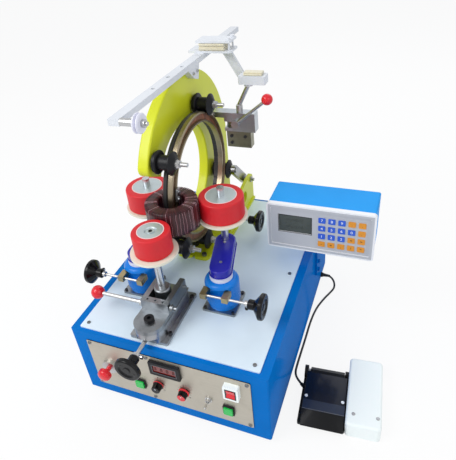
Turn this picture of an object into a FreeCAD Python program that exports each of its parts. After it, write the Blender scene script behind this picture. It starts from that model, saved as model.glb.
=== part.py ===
"""Toroidal wire coil winding machine: a parametric document, one file for each sub-part.

Millimetres, +Z up. X runs along the operator's panel, Y runs from the operator to the back, and
the origin is the middle of the cabinet's footprint on the bench. Every driving size is a cell of
the sheet "Sizes"; a Dim carries a number with the sheet expression that gives it, so each feature
is bound to the cells that it depends on.
"""
import FreeCAD, Part
import math
import os
import Sketcher

doc = FreeCAD.newDocument("CoilWinder")
sheet = doc.addObject("Spreadsheet::Sheet", "Sizes")
Vector = FreeCAD.Vector
Rotation = FreeCAD.Rotation


# ---------------------------------------------------------------- sizes and expressions
class Dim:
    """A number together with the sheet expression that gives it."""

    def __init__(self, value, text=None):
        self.value = float(value)
        self.text = repr(self.value) if text is None else text

    def __add__(self, other):
        other = dim(other)
        return Dim(self.value + other.value, f"({self.text} + {other.text})")

    def __sub__(self, other):
        other = dim(other)
        return Dim(self.value - other.value, f"({self.text} - {other.text})")

    def __mul__(self, other):
        other = dim(other)
        return Dim(self.value * other.value, f"({self.text} * {other.text})")

    def __truediv__(self, other):
        other = dim(other)
        return Dim(self.value / other.value, f"({self.text} / {other.text})")

    def __radd__(self, other):
        return dim(other) + self

    def __rsub__(self, other):
        return dim(other) - self

    def __rmul__(self, other):
        return dim(other) * self

    def __neg__(self):
        return Dim(-self.value, f"(0 - {self.text})")


def dim(value):
    """Value as a Dim."""
    return value if isinstance(value, Dim) else Dim(value)


def dcos(angle):
    """Cosine of an angle in degrees."""
    angle = dim(angle)
    return Dim(math.cos(math.radians(angle.value)), f"cos({angle.text})")


def dsin(angle):
    """Sine of an angle in degrees."""
    angle = dim(angle)
    return Dim(math.sin(math.radians(angle.value)), f"sin({angle.text})")


def droot(value):
    """Square root."""
    value = dim(value)
    return Dim(math.sqrt(value.value), f"sqrt({value.text})")


sheet_row = 0


def size(alias, number, unit_note=""):
    """Write one driving size to the sheet and return it."""
    global sheet_row
    sheet_row += 1
    sheet.set(f"A{sheet_row}", alias.replace("_", " ") + unit_note)
    sheet.set(f"B{sheet_row}", repr(float(number)))
    sheet.setAlias(f"B{sheet_row}", alias)
    return Dim(number, f"Sizes.{alias}")


def bind(obj, path, value):
    """Bind one property of an object to a Dim."""
    obj.setExpression(path, dim(value).text)


# ---------------------------------------------------------------- Part primitives
AXIS_TURN = {
    "Z": Rotation(),
    "X": Rotation(Vector(0, 1, 0), 90),
    "Y": Rotation(Vector(1, 0, 0), -90),
    "-X": Rotation(Vector(0, 1, 0), -90),
    "-Y": Rotation(Vector(1, 0, 0), 90),
    "-Z": Rotation(Vector(1, 0, 0), 180),
}


def place(obj, at, turn=None):
    """Give an object its Placement, bound to the sheet."""
    at = [dim(c) for c in at]
    base = Vector(*[c.value for c in at])
    obj.Placement = FreeCAD.Placement(base, turn or Rotation())
    for letter, coordinate in zip("xyz", at):
        bind(obj, f"Placement.Base.{letter}", coordinate)
    return obj


def box(name, lengths, at):
    """A box with its lowest corner at a point."""
    obj = doc.addObject("Part::Box", name)
    for prop, value in zip(("Length", "Width", "Height"), lengths):
        bind(obj, prop, value)
    return place(obj, at)


def rod(name, radius, length, at, axis="Z"):
    """A cylinder whose end centre is at a point, running along an axis."""
    obj = doc.addObject("Part::Cylinder", name)
    bind(obj, "Radius", radius)
    bind(obj, "Height", length)
    return place(obj, at, AXIS_TURN[axis])


def cone(name, radius_a, radius_b, length, at, axis="Z"):
    """A cone frustum whose first end is at a point, running along an axis."""
    obj = doc.addObject("Part::Cone", name)
    bind(obj, "Radius1", radius_a)
    bind(obj, "Radius2", radius_b)
    bind(obj, "Height", length)
    return place(obj, at, AXIS_TURN[axis])


def fuse(name, parts):
    """One solid from overlapping solids."""
    obj = doc.addObject("Part::MultiFuse", name)
    obj.Shapes = parts
    obj.Refine = True
    return obj


def cut(name, base, tools):
    """A solid with other solids taken out of it."""
    for number, tool in enumerate(tools):
        obj = doc.addObject("Part::Cut", f"{name}_cut_{number}")
        obj.Base = base
        obj.Tool = tool
        obj.Refine = True
        base = obj
    return base


def group(name, parts):
    """Separate solids that share one node."""
    obj = doc.addObject("Part::Compound", name)
    obj.Links = parts
    return obj


# ---------------------------------------------------------------- PartDesign bodies
PLANES = {"XY": ("XY_Plane", 1), "XZ": ("XZ_Plane", -1), "YZ": ("YZ_Plane", 1)}


class Design:
    """A PartDesign body whose sketches are bound to the sheet."""

    def __init__(self, name, at=(0, 0, 0), turn=None):
        self.name = name
        self.body = doc.addObject("PartDesign::Body", name)
        place(self.body, at, turn)
        self.step = 0

    def feature(self, kind, note):
        self.step += 1
        return self.body.newObject(f"PartDesign::{kind}", f"{self.name}_{note}_{self.step}")

    def axis(self, letter):
        return next(f for f in self.body.Origin.OriginFeatures if f.Role == f"{letter}_Axis")

    def sketch(self, plane, loops, offset=0):
        """A sketch on an origin plane, moved by offset along the plane's own world axis."""
        role, sense = PLANES[plane]
        self.step += 1
        sketch = self.body.newObject("Sketcher::SketchObject", f"{self.name}_sketch_{self.step}")
        support = next(f for f in self.body.Origin.OriginFeatures if f.Role == role)
        sketch.AttachmentSupport = [(support, "")]
        sketch.MapMode = "FlatFace"
        offset = dim(offset) * sense
        sketch.AttachmentOffset = FreeCAD.Placement(Vector(0, 0, offset.value), Rotation())
        bind(sketch, "AttachmentOffset.Base.z", offset)
        for loop in loops:
            loop(sketch)
        return sketch

    def pad(self, plane, loops, length, offset=0):
        """Material from the offset plane towards the positive world axis."""
        pad = self.feature("Pad", "pad")
        pad.Profile = self.sketch(plane, loops, offset)
        bind(pad, "Length", length)
        pad.Reversed = plane == "XZ"
        return pad

    def pocket(self, plane, loops, length, offset=0):
        """A cut from the offset plane towards the positive world axis."""
        pocket = self.feature("Pocket", "pocket")
        pocket.Profile = self.sketch(plane, loops, offset)
        bind(pocket, "Length", length)
        pocket.Reversed = plane != "XZ"
        return pocket

    def revolve(self, plane, loops, axis):
        turned = self.feature("Revolution", "turned")
        turned.Profile = self.sketch(plane, loops)
        turned.ReferenceAxis = (self.axis(axis), [""])
        turned.Angle = 360
        return turned

    def groove(self, plane, loops, axis):
        turned = self.feature("Groove", "groove")
        turned.Profile = self.sketch(plane, loops)
        turned.ReferenceAxis = (self.axis(axis), [""])
        turned.Angle = 360
        return turned

    def around(self, feature, axis, count):
        """Copies of a feature spread evenly about an axis."""
        polar = self.feature("PolarPattern", "ring")
        polar.Originals = [feature]
        polar.Axis = (self.axis(axis), [""])
        polar.Angle = 360
        polar.Occurrences = count
        self.body.Tip = polar
        return polar

    def along(self, feature, axis, length, count):
        """Copies of a feature spread evenly along an axis."""
        row = self.feature("LinearPattern", "row")
        row.Originals = [feature]
        row.Direction = (self.axis(axis), [""])
        bind(row, "Length", length)
        row.Occurrences = count
        self.body.Tip = row
        return row

    def round(self, radius, chosen):
        """A fillet on the edges whose middle passes the test."""
        doc.recompute()
        base = self.body.Tip
        names = [f"Edge{n}" for n, edge in enumerate(base.Shape.Edges, 1) if chosen(edge)]
        fillet = self.feature("Fillet", "round")
        fillet.Base = (base, names)
        bind(fillet, "Radius", radius)
        self.body.Tip = fillet
        return fillet


def pin_point(sketch, geometry, vertex, x, y):
    """Tie one vertex of a sketch to two sheet expressions."""
    for kind, value in (("DistanceX", dim(x)), ("DistanceY", dim(y))):
        number = sketch.addConstraint(
            Sketcher.Constraint(kind, -1, 1, geometry, vertex, value.value)
        )
        sketch.setExpression(f"Constraints[{number}]", value.text)


def circle(x, y, radius):
    """A full circle."""
    x, y, radius = dim(x), dim(y), dim(radius)

    def draw(sketch):
        centre = Vector(x.value, y.value, 0)
        geometry = sketch.addGeometry(Part.Circle(centre, Vector(0, 0, 1), radius.value), False)
        pin_point(sketch, geometry, 3, x, y)
        number = sketch.addConstraint(Sketcher.Constraint("Radius", geometry, radius.value))
        sketch.setExpression(f"Constraints[{number}]", radius.text)

    return draw


def arc_centre(start, end, radius, side):
    """Centre of the arc from start to end; side 1 has it left of the chord, -1 right of it."""
    chord = end - start
    half = chord.Length / 2
    rise = math.sqrt(max(radius * radius - half * half, 0.0))
    left = Vector(-chord.y, chord.x, 0).normalize()
    return (start + end) * 0.5 + left * (rise * side)


def outline(points):
    """A closed path of points (x, y) or arcs (x, y, radius, side, turn) that end at a point.

    side says on which side of the chord the centre lies, and turn is 1 for an arc that runs
    counterclockwise and -1 for one that runs clockwise.
    """
    points = [tuple(dim(c) if n < 3 else c for n, c in enumerate(p)) for p in points]

    def draw(sketch):
        edges = []
        for number, point in enumerate(points):
            before = points[number - 1]
            start = Vector(before[0].value, before[1].value, 0)
            end = Vector(point[0].value, point[1].value, 0)
            if len(point) == 2:
                edges.append((sketch.addGeometry(Part.LineSegment(start, end), False), 1, 2, None))
                continue
            radius, side, turn = point[2], point[3], point[4]
            centre = arc_centre(start, end, radius.value, side)
            angles = [math.atan2(p.y - centre.y, p.x - centre.x) for p in (start, end)]
            if turn < 0:
                angles.reverse()
            whole = Part.Circle(centre, Vector(0, 0, 1), radius.value)
            geometry = sketch.addGeometry(Part.ArcOfCircle(whole, *angles), False)
            first, last = (1, 2) if turn > 0 else (2, 1)
            edges.append((geometry, first, last, radius))
        for number, (geometry, first, last, radius) in enumerate(edges):
            onward = edges[(number + 1) % len(edges)]
            sketch.addConstraint(
                Sketcher.Constraint("Coincident", geometry, last, onward[0], onward[1])
            )
            pin_point(sketch, geometry, last, points[number][0], points[number][1])
            if radius is not None:
                held = sketch.addConstraint(Sketcher.Constraint("Radius", geometry, radius.value))
                sketch.setExpression(f"Constraints[{held}]", radius.text)

    return draw


def rectangle(x0, y0, x1, y1):
    """A rectangle between two corners."""
    return outline([(x0, y0), (x1, y0), (x1, y1), (x0, y1)])


def rounded(x0, y0, x1, y1, r):
    """A rectangle with its corners rounded."""
    x0, y0, x1, y1, r = [dim(v) for v in (x0, y0, x1, y1, r)]
    return outline([
        (x1 - r, y0), (x1, y0 + r, r, 1, 1), (x1, y1 - r), (x1 - r, y1, r, 1, 1),
        (x0 + r, y1), (x0, y1 - r, r, 1, 1), (x0, y0 + r), (x0 + r, y0, r, 1, 1),
    ])


parts = []


def keep(label, obj):
    """Name a finished sub-part; its label is its file's name."""
    obj.Label = label
    parts.append((label, obj))
    return obj


def keep_design(label, design):
    return keep(label, design.body)


# ---------------------------------------------------------------- driving sizes
fit_gap = size("fit_gap", 0.3)                      # between curved faces of different bodies
run_gap = size("run_gap", 0.05)                     # radial clearance of a shaft in its hole

cabinet_width = size("cabinet_width", 500)
cabinet_depth = size("cabinet_depth", 656)
cabinet_height = size("cabinet_height", 218)
foot_height = size("foot_height", 14)
foot_radius = size("foot_radius", 17)
foot_inset = size("foot_inset", 42)
sheet_metal = size("sheet_metal", 2)
rim_width = size("rim_width", 40)
deck_thickness = size("deck_thickness", 3)
deck_inset_side = size("deck_inset_side", 21)
deck_inset_end = size("deck_inset_end", 11)
screw_head_radius = size("screw_head_radius", 4.5)
screw_head_height = size("screw_head_height", 2)
deck_screw_inset = size("deck_screw_inset", 16)

panel_half_width = size("panel_half_width", 210)
panel_low = size("panel_low", 46)
panel_high = size("panel_high", 207)
panel_thickness = size("panel_thickness", 2)
panel_screw_inset = size("panel_screw_inset", 8)

meter_x = size("meter_x", 2)
meter_z = size("meter_z", 176)
meter_width = size("meter_width", 79)
meter_height = size("meter_height", 43)
stop_x = size("stop_x", -158)
stop_z = size("stop_z", 130)
left_button_x = size("left_button_x", -78)
left_button_z = size("left_button_z", 96)
right_button_x = size("right_button_x", 153)
right_button_z = size("right_button_z", 92)
button_side = size("button_side", 22)
left_dial_x = size("left_dial_x", -26)
right_dial_x = size("right_dial_x", 42)
dial_z = size("dial_z", 111)
toggle_x = size("toggle_x", 104)
toggle_z = size("toggle_z", 109)
power_x = size("power_x", 167)
power_z = size("power_z", 170)
power_width = size("power_width", 36)
power_height = size("power_height", 42)
power_depth = size("power_depth", 14)

middle_x = size("middle_x", -40)                     # plane of the front roller and the core
ring_y = size("ring_y", 59)
ring_z = size("ring_z", 462)
ring_radius = size("ring_radius", 172)
ring_band = size("ring_band", 26)
ring_width = size("ring_width", 14)
ring_front_x = size("ring_front_x", -33)
drive_band = size("drive_band", 22)
slider_thickness = size("slider_thickness", 6)
guide_hub_radius = size("guide_hub_radius", 18)
guide_flange_radius = size("guide_flange_radius", 28)
guide_bore = size("guide_bore", 5)

head_front_x = size("head_front_x", -78)
head_thickness = size("head_thickness", 28)
head_y = size("head_y", 109)
head_z = size("head_z", 471)
head_radius = size("head_radius", 252)
head_opening = size("head_opening", 142)
limb_angle = size("limb_angle", 151.3)              # where the upper limb of the plate ends
limb_round = size("limb_round", 20)
mouth_low = size("mouth_low", 385)
foot_flange_thickness = size("foot_flange_thickness", 8)
cheek_thickness = size("cheek_thickness", 8)

core_radius = size("core_radius", 63)
core_hole = size("core_hole", 33)
core_low = size("core_low", 430.5)
core_height = size("core_height", 64)
core_y = size("core_y", -106)
roller_spread = size("roller_spread", 100)           # rear rollers each side of the middle plane
roller_radius = size("roller_radius", 55)
front_roller_radius = size("front_roller_radius", 44)
roller_low = size("roller_low", 430)
tyre_height = size("tyre_height", 54)
disc_share = size("disc_share", 0.7)
flange_lip = size("flange_lip", 6)
front_flange_lip = size("front_flange_lip", 11)
flange_thickness = size("flange_thickness", 8)
spindle_radius = size("spindle_radius", 9)
stub_height = size("stub_height", 22)

turret_y = size("turret_y", -143)
right_turret_x = size("right_turret_x", 84)
left_turret_x = size("left_turret_x", -140)
turret_radius = size("turret_radius", 42)
turret_plate_side = size("turret_plate_side", 84)
turret_plate_thickness = size("turret_plate_thickness", 6)
turret_height = size("turret_height", 80)
collar_radius = size("collar_radius", 32)
collar_height = size("collar_height", 9)
cover_radius = size("cover_radius", 26)
cover_height = size("cover_height", 23)
adjuster_z = size("adjuster_z", 300)
adjuster_reach = size("adjuster_reach", 51)          # screw axis in front of the turret's axis
adjuster_screw_radius = size("adjuster_screw_radius", 3)
block_spread = size("block_spread", 27)
block_side = size("block_side", 15)
knob_distance = size("knob_distance", 113)
knob_radius = size("knob_radius", 31)

slide_width = size("slide_width", 98)
slide_front = size("slide_front", -311)
slide_length = size("slide_length", 170)
slide_flange = size("slide_flange", 8)
dovetail_neck = size("dovetail_neck", 46)
dovetail_top = size("dovetail_top", 58)
dovetail_height = size("dovetail_height", 14)
carriage_width = size("carriage_width", 74)
carriage_top = size("carriage_top", 272)
carriage_back = size("carriage_back", -168)
pivot_y = size("pivot_y", -290)
nose_radius = size("nose_radius", 37)
arm_ear_thickness = size("arm_ear_thickness", 12)
arm_width = size("arm_width", 72)
arm_front = size("arm_front", -260)
arm_back = size("arm_back", -165)
arm_top = size("arm_top", 310)
arm_wall = size("arm_wall", 13)
lever_y = size("lever_y", -248)
lever_z = size("lever_z", 290)
lever_radius = size("lever_radius", 5)
lever_ball_x = size("lever_ball_x", -206)
lever_ball_radius = size("lever_ball_radius", 17)
feed_knob_y = size("feed_knob_y", -400)
feed_screw_radius = size("feed_screw_radius", 5)

bar_low = size("bar_low", 727)
bar_thickness = size("bar_thickness", 14)
bar_width = size("bar_width", 25)
bar_left_x = size("bar_left_x", -85)
bar_front = size("bar_front", -212)
bar_back = size("bar_back", 485)
pulley_radius = size("pulley_radius", 20)
pulley_width = size("pulley_width", 14)
felt_y = size("felt_y", 240)
felt_depth = size("felt_depth", 52)

controller_x = size("controller_x", 282)
controller_front = size("controller_front", 20)
controller_low = size("controller_low", 305)
controller_width = size("controller_width", 258)
controller_height = size("controller_height", 129)
controller_depth = size("controller_depth", 108)
pedal_yaw = size("pedal_yaw", 4.5)

pedal_x = size("pedal_x", 345)
pedal_y = size("pedal_y", -184)
pedal_width = size("pedal_width", 104)
pedal_length = size("pedal_length", 166)
pedal_box_width = size("pedal_box_width", 80)
pedal_box_length = size("pedal_box_length", 190)
pedal_box_height = size("pedal_box_height", 46)

# Places worked out from the sizes.
side_x = cabinet_width / 2
front_y = -cabinet_depth / 2
back_y = cabinet_depth / 2
cabinet_top = foot_height + cabinet_height
deck = cabinet_top + deck_thickness
panel_face = front_y - panel_thickness
ring_back_x = ring_front_x - ring_width
drive_back_x = ring_back_x - ring_width
guide_distance = ring_radius + guide_hub_radius + fit_gap
contact = roller_radius + core_radius + fit_gap
rear_roller_y = core_y + droot(contact * contact - roller_spread * roller_spread)
front_roller_y = core_y - core_radius - front_roller_radius - fit_gap
right_roller_x = middle_x + roller_spread
left_roller_x = middle_x - roller_spread
turret_top = deck + turret_plate_thickness + turret_height
cover_low = turret_top + collar_height
cover_top = cover_low + cover_height
flange_low = roller_low - flange_thickness
GUIDE_ANGLES = {"top": 61, "left": 140.5, "lower_left": 220.6, "bottom": 265, "right": 338}


def guide_place(name):
    """Axis of a guide roller in the YZ plane."""
    angle = size(f"guide_angle_{name}", GUIDE_ANGLES[name])
    return ring_y + guide_distance * dcos(angle), ring_z + guide_distance * dsin(angle)


guides = {name: guide_place(name) for name in GUIDE_ANGLES}

# ---------------------------------------------------------------- cabinet
def hex_screw(name, radius, height, at, axis="Z", shank=None):
    """A socket head screw seen from outside: head, hexagon socket and an optional shank."""
    x, y, z = [dim(c) for c in at]
    radius, height = dim(radius), dim(height)
    head = rod(f"{name}_head", radius, height, (x, y, z), axis)
    away = {"Z": (0, 0, 1), "X": (1, 0, 0), "-Y": (0, -1, 0), "-X": (-1, 0, 0), "Y": (0, 1, 0)}[axis]
    depth = height * 0.5
    base = [c + depth * a for c, a in zip((x, y, z), away)]
    socket = doc.addObject("Part::Prism", f"{name}_socket")
    socket.Polygon = 6
    bind(socket, "Circumradius", radius * 0.55)
    bind(socket, "Height", height)
    place(socket, base, AXIS_TURN[axis])
    return cut(f"{name}_screw", head, [socket])


cavity = Design("cabinet_sheet")
cavity.pad("XY", [rounded(-side_x, front_y, side_x, back_y, 5)], cabinet_height, foot_height)
inner_x = side_x - sheet_metal
inner_y = back_y - sheet_metal
cavity.pocket("XY", [rounded(-inner_x, -inner_y, inner_x, inner_y, 3)],
              cabinet_height - sheet_metal * 2, foot_height + sheet_metal)
cavity.pocket("XY", [rounded(-(side_x - rim_width), -(back_y - rim_width), side_x - rim_width,
                             back_y - rim_width, 6)], sheet_metal * 2, cabinet_top - sheet_metal)
cavity.pocket("XZ", [rounded(-(panel_half_width - 12), panel_low + 12, panel_half_width - 12,
                             panel_high - 12, 4)], sheet_metal, front_y)
slot_pitch = size("slot_pitch", 10)
slot_rows = 9
slot = cavity.pocket("XZ", [rounded(-60, 90, 60, 94, 1.9)], sheet_metal, inner_y)
cavity.along(slot, "Z", slot_pitch * (slot_rows - 1), slot_rows)
gland_bore = size("gland_bore", 4)
gland_nut = size("gland_nut", 8)
foot_gland_y = size("foot_gland_y", 251)
foot_gland_z = size("foot_gland_z", 25)
wire_gland_y = size("wire_gland_y", 198)
wire_gland_z = size("wire_gland_z", 196)
cavity.pocket("YZ", [circle(foot_gland_y, foot_gland_z, gland_bore),
                     circle(wire_gland_y, wire_gland_z, gland_bore)], sheet_metal, inner_x)
keep_design("cabinet_shell", cavity)

plate_x = side_x - deck_inset_side
plate_y = back_y - deck_inset_end
plate = Design("deck_plate")
plate.pad("XY", [rounded(-plate_x, -plate_y, plate_x, plate_y, 4)], deck_thickness, cabinet_top)
keep_design("top_plate", plate)

feet = []
for side in (-1, 1):
    for end in (-1, 1):
        feet.append(cone(f"foot_{len(feet)}", foot_radius * 0.88, foot_radius, foot_height,
                         ((side_x - foot_inset) * side, (back_y - foot_inset) * end, 0)))
keep("rubber_feet", group("feet", feet))

meter_hole = 3
face = Design("panel_sheet")
panel_middle = (panel_low + panel_high) / 2
face.pad("XZ", [rounded(-panel_half_width, panel_low, panel_half_width, panel_high, 4)],
         panel_thickness, panel_face)
meter_half_x = meter_width / 2 - meter_hole
meter_half_z = meter_height / 2 - meter_hole
power_half_x = power_width / 2 - 3
power_half_z = power_height / 2 - 3
stop_bore = size("stop_bore", 11)
button_bore = size("button_bore", 8)
dial_bore = size("dial_bore", 4.5)
toggle_bore = size("toggle_bore", 6)
face.pocket("XZ", [
    rectangle(meter_x - meter_half_x, meter_z - meter_half_z,
              meter_x + meter_half_x, meter_z + meter_half_z),
    rectangle(power_x - power_half_x, power_z - power_half_z,
              power_x + power_half_x, power_z + power_half_z),
    circle(stop_x, stop_z, stop_bore),
    circle(left_button_x, left_button_z, button_bore),
    circle(right_button_x, right_button_z, button_bore),
    circle(left_dial_x, dial_z, dial_bore),
    circle(right_dial_x, dial_z, dial_bore),
    circle(toggle_x, toggle_z, toggle_bore),
], panel_thickness, panel_face)
keep_design("front_panel", face)

screws = []
for side in (-1, 1):
    for place_y in (-plate_y + deck_screw_inset, dim(0), plate_y - deck_screw_inset):
        screws.append(hex_screw(f"deck_{len(screws)}", screw_head_radius, screw_head_height,
                                ((plate_x - deck_screw_inset) * side, place_y, deck)))
    for height in (panel_low + panel_screw_inset, panel_high - panel_screw_inset):
        screws.append(hex_screw(f"face_{len(screws)}", screw_head_radius, screw_head_height,
                                ((panel_half_width - panel_screw_inset) * side, panel_face, height),
                                "-Y"))
for height in (panel_low + panel_screw_inset, panel_high - panel_screw_inset):
    screws.append(hex_screw(f"face_{len(screws)}", screw_head_radius, screw_head_height,
                            (meter_x - meter_width / 2 - 8, panel_face, height), "-Y"))
meter = Design("meter")
bezel_depth = size("bezel_depth", 8)
meter_rear = size("meter_rear", 70)
meter.pad("XZ", [rounded(meter_x - meter_width / 2, meter_z - meter_height / 2,
                         meter_x + meter_width / 2, meter_z + meter_height / 2, 2)],
          bezel_depth, panel_face - bezel_depth)
meter.pad("XZ", [rectangle(meter_x - meter_half_x + run_gap, meter_z - meter_half_z + run_gap,
                           meter_x + meter_half_x - run_gap, meter_z + meter_half_z - run_gap)],
          meter_rear, panel_face)
meter.pocket("XZ", [rounded(meter_x - meter_width * 0.38, meter_z - meter_height * 0.26,
                            meter_x + meter_width * 0.38, meter_z + meter_height * 0.30, 1.5)],
             2, panel_face - bezel_depth)
keep_design("panel_meter", meter)

# Fixed parts of the panel controls: collars and bodies that pass through the panel.
stop_collar = size("stop_collar", 20)
stop_collar_depth = size("stop_collar_depth", 8)
stem_radius = size("stem_radius", 6)
button_bezel = size("button_bezel", 5)
button_stem = size("button_stem", 4)
dial_collar = size("dial_collar", 10)
dial_collar_depth = size("dial_collar_depth", 3)
dial_stem = size("dial_stem", 3)
body_depth = size("body_depth", 34)


def control_body(name, x, z, outer, depth, neck, hollow):
    """A bezel on the panel with its neck through the panel, hollow for the moving stem."""
    control = Design(name)
    control.pad("XZ", [circle(x, z, outer)], depth, panel_face - depth)
    control.pad("XZ", [circle(x, z, neck - run_gap)], panel_thickness + body_depth, panel_face)
    control.pocket("XZ", [circle(x, z, hollow + run_gap)], depth + panel_thickness + body_depth,
                   panel_face - depth)
    return control


def square_body(name, x, z):
    """A square push button's frame, recessed for its cap."""
    control = Design(name)
    half = button_side / 2 + 3
    well = button_side / 2 + fit_gap
    control.pad("XZ", [rounded(x - half, z - half, x + half, z + half, 2)], button_bezel,
                panel_face - button_bezel)
    control.pad("XZ", [circle(x, z, button_bore - run_gap)], panel_thickness + body_depth,
                panel_face)
    control.pocket("XZ", [rounded(x - well, z - well, x + well, z + well, 1.5)],
                   button_bezel - 1, panel_face - button_bezel)
    control.pocket("XZ", [circle(x, z, button_stem + run_gap)],
                   button_bezel + panel_thickness + body_depth, panel_face - button_bezel)
    return control


collars = [
    control_body("stop_body", stop_x, stop_z, stop_collar, stop_collar_depth, stop_bore, stem_radius),
    control_body("left_dial_body", left_dial_x, dial_z, dial_collar, dial_collar_depth, dial_bore,
                 dial_stem),
    control_body("right_dial_body", right_dial_x, dial_z, dial_collar, dial_collar_depth, dial_bore,
                 dial_stem),
    square_body("left_button_body", left_button_x, left_button_z),
    square_body("right_button_body", right_button_x, right_button_z),
]
# The toggle's bushing has a conical mouth for the lever's swing.
toggle_ball = size("toggle_ball", 4)
bush = Design("toggle_body")
bush_radius = size("bush_radius", 9)
bush_depth = size("bush_depth", 9)
bush.pad("XZ", [circle(toggle_x, toggle_z, bush_radius)], 3, panel_face - 3)
bush.pad("XZ", [circle(toggle_x, toggle_z, toggle_bore - run_gap)], bush_depth - 3,
         panel_face - bush_depth)
bush.pad("XZ", [circle(toggle_x, toggle_z, toggle_bore - run_gap)], panel_thickness + 20,
         panel_face)
bush.pocket("XZ", [circle(toggle_x, toggle_z, toggle_ball + run_gap)], bush_depth + 8,
            panel_face - bush_depth)
toggle_pin = size("toggle_pin", 1)
bush.pocket("YZ", [circle(panel_face - bush_depth + 4, toggle_z, toggle_pin + run_gap)],
            toggle_bore * 2, toggle_x - toggle_bore)

rocker_half_x = power_width / 2 - 8
rocker_half_z = power_height / 2 - 9
socket = Design("power_body")
socket.pad("XZ", [rounded(power_x - power_width / 2, power_z - power_height / 2,
                          power_x + power_width / 2, power_z + power_height / 2, 3)],
           power_depth, panel_face - power_depth)
socket.pad("XZ", [rectangle(power_x - power_half_x + run_gap, power_z - power_half_z + run_gap,
                            power_x + power_half_x - run_gap, power_z + power_half_z - run_gap)],
           18, panel_face)
socket.pocket("XZ", [rectangle(power_x - rocker_half_x - fit_gap, power_z - rocker_half_z - fit_gap,
                               power_x + rocker_half_x + fit_gap,
                               power_z + rocker_half_z + fit_gap)],
              14, panel_face - power_depth)
rocker_pin_y = panel_face - power_depth + 4
socket.pocket("YZ", [circle(rocker_pin_y, power_z, 2)], power_width, power_x - power_width / 2)
keep("control_housings", group("collars", [c.body for c in collars] + [bush.body, socket.body]))

# ---------------------------------------------------------------- moving controls
stop_height = size("stop_height", 40)
stop_head = size("stop_head", 17)
stop = Design("stop_knob", (stop_x, panel_face, stop_z), Rotation(Vector(1, 0, 0), 90))
neck_top = stop_collar_depth + 9
stop.revolve("XZ", [outline([
    (0, -20), (stem_radius, -20), (stem_radius, neck_top), (stop_head - 4, neck_top + 4),
    (stop_head, neck_top + 7), (stop_head, stop_height - 8),
    (stop_head - 6, stop_height - 1.5, 9, 1, 1), (stop_head - 12, stop_height),
    (0, stop_height)])], "Z")
keep_design("stop_button", stop)

for label, x, z in (("left_button_cap", left_button_x, left_button_z),
                    ("right_button_cap", right_button_x, right_button_z)):
    cap = Design(label + "_form")
    half = button_side / 2
    cap_front = panel_face - button_bezel - 4
    cap.pad("XZ", [rounded(x - half, z - half, x + half, z + half, 1.4)], 5, cap_front)
    cap.pad("XZ", [circle(x, z, button_stem)], 22, cap_front + 5)
    keep_design(label, cap)

dial_radius = size("dial_radius", 12)
dial_height = size("dial_height", 17)
for label, x in (("left_dial", left_dial_x), ("right_dial", right_dial_x)):
    knob = Design(label + "_form", (x, panel_face, dial_z), Rotation(Vector(1, 0, 0), 90))
    low = dial_collar_depth + fit_gap
    knob.revolve("XZ", [outline([
        (0, -15), (dial_stem, -15), (dial_stem, low), (dial_radius + 2, low),
        (dial_radius + 2, low + 2), (dial_radius, low + 3), (dial_radius - 1, low + dial_height - 1),
        (dial_radius - 2, low + dial_height), (0, low + dial_height)])], "Z")
    flute = knob.pocket("XY", [circle(dial_radius + 1.2, 0, 1.8)], dial_height, low + 3)
    knob.around(flute, "Z", 12)
    knob.pocket("XZ", [rectangle(-0.8, low + dial_height - 1, 0.8, low + dial_height)],
                dial_radius, 2)
    keep_design(label, knob)

toggle = Design("toggle", (toggle_x, panel_face - bush_depth + 4, toggle_z),
                Rotation(Vector(1, 0, 0), 90))
toggle.revolve("XZ", [outline([
    (0, -3.6), (3.3, -1.5), (3.6, 0), (2.2, 3), (1.6, 5), (2.6, 20), (2.0, 22), (0, 23)])], "Z")
toggle.pad("YZ", [circle(0, 0, toggle_pin)], (toggle_bore - 1) * 2, 1 - toggle_bore)
keep_design("toggle_lever", toggle)

rocker = Design("rocker")
rocker_front = panel_face - power_depth
rocker.pad("YZ", [outline([
    (rocker_front + 7, power_z - rocker_half_z + 1), (rocker_front + 7, power_z + rocker_half_z - 1),
    (rocker_front - 1, power_z + rocker_half_z - 0.6),
    (rocker_front + 1.5, power_z),
    (rocker_front - 1, power_z - rocker_half_z + 0.6)])],
    rocker_half_x * 2, power_x - rocker_half_x)
pin_reach = power_width / 2 - 4
rocker.pad("YZ", [circle(rocker_pin_y, power_z, 2 - run_gap)], pin_reach * 2, power_x - pin_reach)
keep_design("power_rocker", rocker)

# ---------------------------------------------------------------- head casting
head_back_x = head_front_x - head_thickness
lobe_radius = size("lobe_radius", 29)
base_back = size("base_back", 331)
base_front = size("base_front", -10)
lobe_y, lobe_z = guides["lower_left"]
flange_top = deck + foot_flange_thickness

# The upper limb ends in a cut that points at the ring's centre, with a rounded outer corner.
cut_y, cut_z = dcos(limb_angle), dsin(limb_angle)
away_y = ring_y - head_y + limb_round * cut_z
away_z = ring_z - head_z - limb_round * cut_y
inner_radius = head_radius - limb_round
skew = away_y * cut_y + away_z * cut_z
limb_reach = droot(skew * skew + inner_radius * inner_radius - away_y * away_y - away_z * away_z) - skew
corner_y = away_y + limb_reach * cut_y
corner_z = away_z + limb_reach * cut_z
swell = head_radius / inner_radius


def opening_y(height):
    """Front edge of the round opening at a height."""
    drop = height - ring_z
    return ring_y - droot(head_opening * head_opening - drop * drop)


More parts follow.
